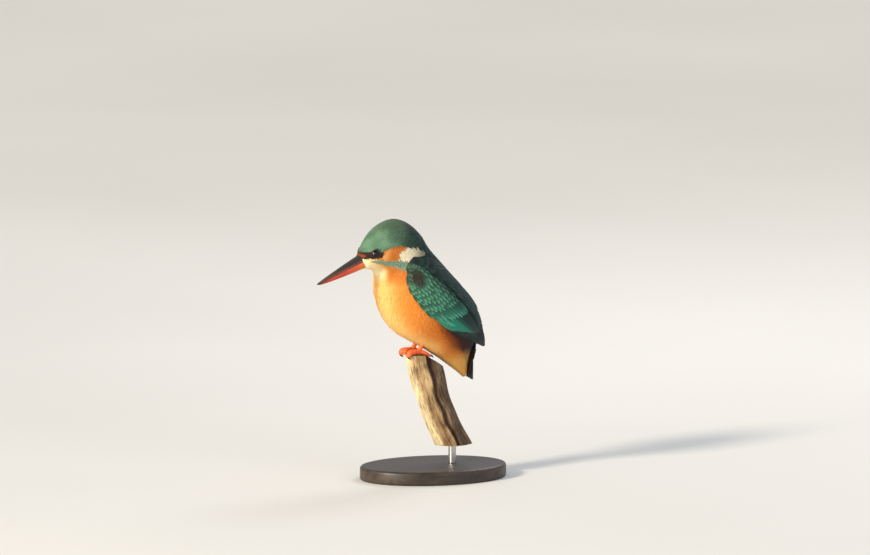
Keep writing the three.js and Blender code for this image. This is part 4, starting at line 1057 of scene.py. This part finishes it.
def coverts(name, start, end, bow, facing, rows, length, half, spans, colours):
    """Rows of coverts over the tail's root, on the back or under it."""
    sheet, reach = hanging(np.array(start), np.array(end), bow, facing)
    p, q, long = [], [], []
    for row in range(rows):
        share = row / (rows - 1)
        count = 11 - row
        p.append(share * (reach - length) + rng.uniform(-0.6, 0.6, count))
        q.append(mix(*spans, share) * np.linspace(-1, 1, count) + rng.uniform(-0.3, 0.3, count))
        long.append(np.full(count, length) - 0.12 * np.abs(q[-1]) ** 1.5)
    p, q, long = (np.concatenate(v) for v in (p, q, long))
    long = long * rng.uniform(0.92, 1.05, len(p))
    chance = rng.uniform(0.85, 1.15, (len(p), 1))
    shades = colours_along(*(mix(*colours, share) * chance for share in (0, 0.35, 0.85, 0.5)))
    cell = cell_middles(np.arange(len(p)), COVERT_CELLS)
    batch = lay(sheet, p, q, long, half, (-1.3 if facing > 0 else 0.0, 0.5), shades, (10, 5), -0.05 * q,
                lambda s: round_outline(s, 0.7, 0.4, 0.5), camber=0.15, thickness=0.16, bake=(cell, 0.9 / COVERT_CELLS))
    look = plumage(name, 20, 0.6, sheen=0.1, specular=0.3, variation=0.12, bump=0.25)
    piece(name, [batch], look)


# ---------------------------------------------------------------- bill, eyes and feet

BILL_SUNK = 3.5
BILL_SKIN = 0.2  # added all round, so that the tip stays blunt
MOUTH_GAP = 0.12  # from the mouth's middle to either half
NOSTRIL = {"forward": 3.4, "up": 1.6, "length": 2.6, "height": 0.8, "depth": 0.55}


def bill_point(forward, out, up):
    parts = ((BILL_FORWARD, forward), (BILL_UP, up), (LEFTWARD, out))
    return turned(BILL_ROOT + sum(way * np.asarray(far, float)[..., None] for way, far in parts))


def mandible(node, length, depth, power, side, colours):
    """One half of the bill: flat along the mouth, with sharp cutting edges and a rounded ridge."""
    s = np.concatenate([np.linspace(-BILL_SUNK / length, 0.9, 60), np.linspace(0.9, 1, 16)[1:]])[:, None]
    turn = np.linspace(0, math.pi, 25)
    taper = np.clip(1 - np.maximum(s, 0), 0, 1)
    half = BILL_HALF_WIDTH * taper**0.84 + BILL_SKIN
    out = half * np.cos(turn) * (1 - 0.06 * np.sin(2 * turn) ** 2)
    up = (depth * taper**power + BILL_SKIN) * np.sin(turn) ** 0.86 + MOUTH_GAP
    if side > 0:
        near = ((s * length - NOSTRIL["forward"]) / (NOSTRIL["length"] / 2)) ** 2
        near = near + ((up - NOSTRIL["up"]) / (NOSTRIL["height"] / 2)) ** 2
        out = out - np.sign(out) * NOSTRIL["depth"] * np.exp(-near)
    mouth = np.linspace(half[:, 0] * -0.98, half[:, 0] * 0.98, 9, axis=1)[:, 1:-1]
    out = np.concatenate([out, mouth], 1)
    up = np.concatenate([up, np.full_like(mouth, MOUTH_GAP)], 1)
    s = np.repeat(s, out.shape[1], 1)
    batch = grid_batch(bill_point(s * length, out, side * up), colours(s, up / (depth + BILL_SKIN)))
    look = horn(f"{node}_horn", 16.0, 0.38, 0.25)
    piece(f"{node}_horn", [turned_over(batch) if side > 0 else batch], look, (node,))


def upper_colours(s, up):
    shade = mix(HORN_DARK, HORN_BROWN, 0.55 * smoothstep(s, 0.35, 1.0)[..., None])
    return mix(shade, HORN_RED, 0.85 * (smoothstep(up, 0.42, 0.1) * smoothstep(s, 0.95, 0.3))[..., None])


def lower_colours(s, _up):
    shade = mix(BILL_ORANGE, BILL_RED, smoothstep(s, 0.0, 0.45)[..., None])
    return mix(shade, HORN_DARK, 0.75 * smoothstep(s, 0.72, 0.98)[..., None])


def round_grid(first, count):
    """A grid of pairs: each of the first angles with each of count angles round a full turn."""
    return np.meshgrid(first, np.linspace(0, FULL_TURN, count, endpoint=False), indexing="ij")


def round_points(centre, look, away, out, angle, lowness=1.0):
    """Points about an eye's centre: how far away from its line of sight, and out along it, and at what angle."""
    aside = unit(np.cross(look, [0, 0, 1]))
    parts = ((aside, away * np.cos(angle)), (np.cross(aside, look), away * np.sin(angle) * lowness), (look, out))
    return centre + sum(way * far[..., None] for way, far in parts)


LID_RADIUS = 0.24
LID_HEIGHT = 2.2
LID_LOWNESS = 0.97  # the ring's height as a share of its width


def eyes():
    lids = []
    for name, side in (("left", 1), ("right", -1)):
        centre, look = eye_centre(side), eye_look(side)
        polar, angle = round_grid(np.linspace(0.02, math.pi - 0.02, 40), 64)
        iris = smoothstep(polar, 0.42, 0.5)[..., None] * (0.8 + 0.2 * np.sin(23 * angle)[..., None] ** 2)
        ball = round_points(centre, look, EYE_RADIUS * np.sin(polar), EYE_RADIUS * np.cos(polar), angle)
        ball = orient(grid_batch(ball, mix(PUPIL, IRIS, iris)), centre)
        piece(f"eyeball_{name}", [ball], eye_gloss(f"eye_{name}_gloss"), (f"eye_{name}",))
        lids.append(lid_batch(centre, look))
    piece("eyelids", lids, scaly_skin("lid_skin", 0.00035, 0.5))


def lid_batch(centre, look):
    """The bare wrinkled ring round an eye, a little wider than high."""
    a, b = round_grid(np.linspace(0, FULL_TURN, 96, endpoint=False), 12)
    major = math.sqrt(EYE_RADIUS**2 - LID_HEIGHT**2) + 0.75 * LID_RADIUS
    minor = LID_RADIUS * (1 + 0.06 * np.sin(19 * a) + 0.05 * np.sin(31 * a + 1))
    points = round_points(centre, look, major + minor * np.cos(b), LID_HEIGHT + minor * np.sin(b), a, LID_LOWNESS)
    index = np.arange(a.size).reshape(a.shape)
    ahead = np.roll(index, -1, 0)
    quads = np.stack([index, ahead, np.roll(ahead, -1, 1), np.roll(index, -1, 1)], -1).reshape(-1, 4)
    batch = {**grid_batch(points, LID_SKIN), "faces": quads, "ends": []}
    outward = points[0, 0] - points[0].mean(0)
    inside_out = np.cross(points[1, 0] - points[0, 0], points[0, 1] - points[0, 0]) @ outward < 0
    return turned_over(batch) if inside_out else batch


def limb_batch(path, radii, shade, rings=0.0, ring_count=0, sides=20, steps=30):
    """A round bar along a smooth path, with a radius at each of its points, low rings across it and a round end."""
    path = np.asarray(path, float)
    share = np.linspace(0, 1, steps)
    centre = along(path, share * (len(path) - 1))
    radius = along(radii, share * (len(radii) - 1))
    radius = radius * (1 + rings * np.abs(np.sin(share * math.pi * ring_count)))
    forward = unit(np.gradient(centre, axis=0))
    across = unit(LEFTWARD - forward * forward[:, :1])
    up = np.cross(forward, across)
    turn = np.linspace(0, FULL_TURN, sides, endpoint=False)
    points = (
        centre[:, None]
        + across[:, None] * (radius[:, None] * np.cos(turn))[..., None]
        + up[:, None] * (radius[:, None] * np.sin(turn))[..., None]
    )
    rounded = [
        centre[-1] + (points[-1] - centre[-1]) * math.sqrt(1 - f * f) + forward[-1] * radius[-1] * f
        for f in (0.25, 0.5, 0.75)
    ]
    return orient(grid_batch(np.concatenate([points, rounded]), shade), centre[0] * 0.5 + centre[1] * 0.5)


LEG_X = 5.6
ANKLE_Y = 2.6
TOE_HEIGHT = 2.0
TOES = ((-0.36, 0.86), (-0.02, 0.95), (0.27, 1.0))  # the front ones: how far each turns outward, and its share of reach
TOE_REACH = 8.2
TOE_DROP = 2.2
HIND_TOE_REACH = 7.5
HIND_TOE_DROP = 2.8


def feet():
    skin = scaly_skin("foot_skin", 0.0007, 0.42)
    for name, side in (("left", 1), ("right", -1)):
        ankle = np.array([LEG_X * side, ANKLE_Y, TOE_HEIGHT + 0.5])
        shank = [(LEG_X * side * 1.05, ANKLE_Y + 5.2, 11), (LEG_X * side, ANKLE_Y + 2.3, 6.4), ankle]
        flesh = [limb_batch(shank, [1.5, 1.35, 1.55], FOOT_RED, 0.05, 7)]
        claws = []

        def at(heading, distance, drop):
            return np.array([*(ankle + heading * distance)[:2], TOE_HEIGHT - drop])

        for spread, reach in TOES:
            heading = np.array([side * math.sin(spread), -math.cos(spread), 0])
            bends = ((-0.5, 0), (0.45 * TOE_REACH, -0.2), (0.85 * TOE_REACH, 0.4), (TOE_REACH, TOE_DROP))
            path = [at(heading, distance * reach, drop) for distance, drop in bends]
            flesh.append(limb_batch(path, [1.7, 1.5, 1.45, 1.1], FOOT_RED, 0.1, 11))
            ahead = unit(np.array([heading[0] * 0.2, heading[1] * 0.2, -1]))
            claws.append(claw_batch(at(heading, TOE_REACH * 0.99 * reach, TOE_DROP - 0.6), ahead, -heading))
        back = unit(np.array([side * 0.1, 1.0, 0]))
        path = [at(back, HIND_TOE_REACH * share, HIND_TOE_DROP * share**2) for share in (0, 0.5, 1, 0.96)]
        flesh.append(limb_batch(path[:3], [1.5, 1.3, 0.95], FOOT_RED, 0.1, 7))
        claws.append(claw_batch(path[3], back, np.array([0, 0, -1.0])))
        piece(f"foot_{name}", flesh, skin, (f"leg_{name}",))
        piece(f"claws_{name}", claws, horn(f"claws_{name}", 8.0, 0.35, 0.1))


def claw_batch(root, forward, down):
    path = [root, root + forward * 1.8 + down * 0.4, root + forward * 3.0 + down * 1.8]
    return limb_batch(path, [0.85, 0.55, 0.1], CLAW_HORN, sides=12, steps=14)


# ---------------------------------------------------------------- perch and stand

PERCH_RADIUS = 10.8
PERCH_DROP = 61.6  # from the perch's top to its cut lower end
PERCH_LINE = [(2.4, 18.0), (6.8, 0.0), (15.2, -31.0), (28.6, -PERCH_DROP), (36.5, -76.0)]
PERCH_BREAK_Y = 6.4
PERCH_BREAK = math.radians(32)
KNOT_PLACE = (0.62, 1.9)  # its share of the stem's length, and its turn
KNOT_REACH = (0.07, 0.4)
KNOT_HEIGHT = 2.2
GROOVE_TURN = 1.6  # of the groove down the stem's left side, painted dark as shade
GROOVE_HALF = (0.26, 0.14)
GROOVE_DEPTH = 1.1
SHADED_SIDE_TURN = 2.75  # of the side painted grey as shade
FIBRE_WAVES = ((5, 0.16), (9, 0.12), (17, 0.09), (31, 0.06), (53, 0.04))  # how many round the stem, and how high
CRACK_TURN = 5.0
CRACK_DEPTH = 0.8
BREAK_INSET = 0.0012  # metres, as are the next two
BREAK_SUNK = 0.0003
BREAK_ROUGHNESS = 0.0002


def perch():
    """The cut stem, with its fibres and cracks in relief, broken off obliquely behind the feet."""
    share = np.linspace(0, 1, 260)
    line = line_along(PERCH_LINE, share)
    tangent = unit(np.gradient(line, axis=0))
    dorsal = unit(np.cross(tangent, LEFTWARD))
    f = share[:, None]
    turn = np.linspace(0, FULL_TURN, 200, endpoint=False)[None]
    swell = 0.35 * np.sin(9 * f + 2 * turn) + 0.3 * np.sin(3 * turn + 4 * f) + 0.25 * np.sin(23 * f)
    from_knot = ((f - KNOT_PLACE[0]) / KNOT_REACH[0]) ** 2 + ((turn - KNOT_PLACE[1]) / KNOT_REACH[1]) ** 2
    relief = fibres(turn, f)
    spread = mix(*GROOVE_HALF, smoothstep(f, 0.2, 0.5))
    drift = turn - GROOVE_TURN - 0.08 * np.sin(9 * f) + 0.05 * np.sin(31 * f)
    groove = np.exp(-((drift / spread) ** 4))
    radius = PERCH_RADIUS + swell + KNOT_HEIGHT * np.exp(-from_knot) + relief - GROOVE_DEPTH * groove
    aside = radius * np.sin(turn) + 0.7 * np.sin(3.1 * f + 0.4)
    points = line[:, None] + LEFTWARD * aside[..., None] + dorsal[:, None] * (radius * np.cos(turn))[..., None]
    pale = smoothstep(relief + 0.25 * np.sin(5 * turn + 7 * f), -0.6, 0.3)[..., None]
    # Painted highlight: the side that faces the key light is painted pale.
    painted_highlight = smoothstep(np.cos(turn + 0.12 * np.sin(7 * f)), 0.7, 0.93)[..., None]
    shade = mix(mix(WOOD_BROWN, WOOD_BEIGE, pale), WOOD_PALE, painted_highlight * (0.8 + 0.2 * pale))
    # Painted shade: the side turned away from the light is painted grey.
    painted_shade_side = smoothstep(np.cos(turn + 0.1 * np.sin(8 * f) - SHADED_SIDE_TURN), 0.25, 0.5)[..., None]
    shade = mix(shade, WOOD_GREY * (0.8 + 0.4 * pale), painted_shade_side)
    # Painted shade in the groove.
    shade = mix(shade, WOOD_DARK, groove[..., None])
    batch = orient(grid_batch(points, shade), line[len(line) // 2])
    stem = piece("perch_stem", [batch], bark("bark"), ("perch",))
    broken = (0, math.sin(PERCH_BREAK), math.cos(PERCH_BREAK))
    cut(stem, [((0, 0, -0.05), (0, 0, 1)), ((0, PERCH_BREAK_Y, 0), broken)], True)
    cut(stem, [((0, 0, -PERCH_DROP), (0, 0, -1))], False)


def line_along(places, share):
    """A smooth line through side-view places, evenly by its length, as points in space."""
    dense = along(places, np.linspace(0, len(places) - 1, 400))
    passed = np.concatenate([[0], np.cumsum(np.hypot(*np.diff(dense, axis=0).T))])
    y, z = (np.interp(share * passed[-1], passed, values) for values in dense.T)
    return np.stack([np.zeros_like(y), y, z], -1)


def fibres(turn, f):
    """Ridges and cracks along the stem, as a height in millimetres."""
    waves = np.random.default_rng(3)
    height = np.zeros(np.broadcast(turn, f).shape)
    for count, size in FIBRE_WAVES:
        for _ in range(3):
            drift, phase, slide = waves.uniform(2, 9), waves.uniform(0, 6.3), waves.uniform(0.5, 2.5)
            height += size * np.sin(count * turn + slide * np.sin(drift * f + phase) + phase)
    crack = np.exp(-(((turn - CRACK_TURN - 0.12 * np.sin(6 * f)) / 0.05) ** 2))
    return height - CRACK_DEPTH * crack


def cut(thing, planes, broken):
    """Cuts a closed piece by planes, given from the feet, and closes it with flat faces, or with uneven broken ones."""
    shape = bmesh.new()
    shape.from_mesh(thing.data)
    for place, normal in planes:
        everything = shape.verts[:] + shape.edges[:] + shape.faces[:]
        bmesh.ops.bisect_plane(shape, geom=everything, plane_co=Vector((np.array(place) + FEET) * MM),
                               plane_no=normal, clear_outer=True)
        rim = [e for e in shape.edges if e.is_boundary]
        made = bmesh.ops.edgeloop_fill(shape, edges=rim)["faces"]
        inset = bmesh.ops.inset_region(shape, faces=made, thickness=BREAK_INSET, use_even_offset=False,
                                       depth=-BREAK_SUNK if broken else 0.0)
        if broken:
            shape.verts.index_update()
            for vert in sorted({v for face in inset["faces"] for v in face.verts}, key=lambda v: v.index):
                vert.co -= Vector(normal) * float(rng.uniform(0, BREAK_ROUGHNESS))
    bmesh.ops.recalc_face_normals(shape, faces=shape.faces)
    shape.to_mesh(thing.data)
    shape.free()


def stand():
    """The base keeps its solid's size, with a rounder rim; the rod is its solid."""
    low, high = (np.array(corner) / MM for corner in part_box("stand_base"))
    centre, half = (low + high) / 2, (high - low) / 2
    turn = np.linspace(0, FULL_TURN, 160, endpoint=False)
    profile = [(-1.6, low[2]), (-0.5, low[2] + 0.25), (-0.1, low[2] + 0.8), (0.0, low[2] + 1.6)]
    profile += [(0.0, high[2] - 1.8), (-0.25, high[2] - 0.9), (-0.9, high[2] - 0.25), (-1.8, high[2])]
    inward, z = np.array(profile)[:, :, None].transpose(1, 0, 2)
    x, y = centre[0] + (half[0] + inward) * np.cos(turn), centre[1] + (half[1] + inward) * np.sin(turn)
    points = np.stack([x, y, z + 0 * turn], -1) - FEET
    batch = orient(grid_batch(points, (1, 1, 1)), centre - FEET)
    base = piece("stand_plate", [batch], stained_wood("stained_wood"), ("stand_base",))
    base.data.set_sharp_from_angle(angle=math.radians(35))
    rod = bpy.data.objects["stand_rod"].data.materials
    rod.clear()
    rod.append(brushed_metal("brushed_steel"))


# ---------------------------------------------------------------- floor, lights and camera

VIEW_AZIMUTH = 68  # degrees, as is the next
VIEW_ELEVATION = 8
VIEW_DISTANCE = 8.0
IMAGE_WIDTH, IMAGE_HEIGHT = 870, 555
PIXEL = 0.66  # millimetres at the bird
FEET_PIXEL = (412, 354)
SENSOR = 36.0
FLOOR_HALF = 12.0
LIT_PLACE = Vector((0, 0, 0.12))  # what the lights aim at, in metres


def way_to(azimuth, elevation):
    """The way from the part to a place at an azimuth and an elevation, in degrees."""
    a, e = math.radians(azimuth), math.radians(elevation)
    return Vector((math.sin(a) * math.cos(e), -math.cos(a) * math.cos(e), math.sin(e)))


def camera():
    back = way_to(VIEW_AZIMUTH, VIEW_ELEVATION)
    right = way_to(VIEW_AZIMUTH + 90, 0)
    up = back.cross(right)
    aside = (IMAGE_WIDTH / 2 - FEET_PIXEL[0]) * PIXEL * MM
    above = (FEET_PIXEL[1] - IMAGE_HEIGHT / 2) * PIXEL * MM
    place = Vector(FEET * MM) + right * aside + up * above + back * VIEW_DISTANCE
    data = bpy.data.cameras.new("camera")
    data.sensor_width = SENSOR
    data.lens = SENSOR * VIEW_DISTANCE / (IMAGE_WIDTH * PIXEL * MM)
    data.clip_end = 100
    thing = placed("camera", data)
    thing.matrix_world = Matrix.Translation(place) @ Matrix((right, up, back)).transposed().to_4x4()
    bpy.context.scene.camera = thing


def light(name, kind, way, power, tint, **settings):
    """A light that lies this way from the part and shines back at it."""
    data = bpy.data.lights.new(name, kind)
    data.energy, data.color = power, tint
    for key, value in settings.items():
        setattr(data, key, value)
    thing = placed(name, data)
    thing.rotation_euler = way.to_track_quat("Z", "Y").to_euler()
    return thing


def soft_box(name, side, height, front, size, power, tint):
    """A round area light, placed in metres to the view's right, above what it lights and towards the camera."""
    way = way_to(VIEW_AZIMUTH + 90, 0) * side + way_to(VIEW_AZIMUTH, 0) * front + Vector((0, 0, height))
    light(name, "AREA", way, power, tint, shape="DISK", size=size).location = LIT_PLACE + way


def studio():
    mesh = bpy.data.meshes.new("floor")
    corners = [(x * FLOOR_HALF, y * FLOOR_HALF, 0) for x, y in ((-1, -1), (1, -1), (1, 1), (-1, 1))]
    mesh.from_pydata(corners, [], [(0, 1, 2, 3)])
    mesh.materials.append(pale_floor("pale_floor"))
    floor = placed("floor", mesh)
    world = bpy.data.worlds.new("studio")
    world.use_nodes = True
    sky = world.node_tree.nodes["Background"]
    sky.inputs["Color"].default_value = (0.91, 0.94, 0.98, 1)
    sky.inputs["Strength"].default_value = 0.56
    bpy.context.scene.world = world
    light("key", "SUN", way_to(VIEW_AZIMUTH - 50, 27), 3.15, (1.0, 0.89, 0.71), angle=math.radians(9))
    soft_box("fill", 0.9, 0.45, 0.9, 0.8, 2.5, (0.86, 0.93, 1.0))
    soft_box("bounce", -0.7, 0.02, 0.8, 0.5, 5, (1.0, 0.9, 0.72))
    soft_box("rim", 0.5, 0.8, -0.8, 0.5, 4, (0.95, 0.97, 1.0))
    bpy.context.scene.view_settings.view_transform = "Standard"


# ---------------------------------------------------------------- the whole scene

for thing in list(bpy.data.objects):
    if thing.type in ("CAMERA", "LIGHT"):
        bpy.data.objects.remove(thing)

camera()
studio()
body_skin()
body_coat()
wings()
tail()
for name, values in COVERTS.items():
    coverts(name, *values)
mandible("bill_upper", BILL_LENGTH, BILL_UPPER_DEPTH, 0.72, 1, upper_colours)
mandible("bill_lower", BILL_LENGTH - LOWER_SHORTER, BILL_LOWER_DEPTH, 0.62, -1, lower_colours)
eyes()
feet()
perch()
stand()
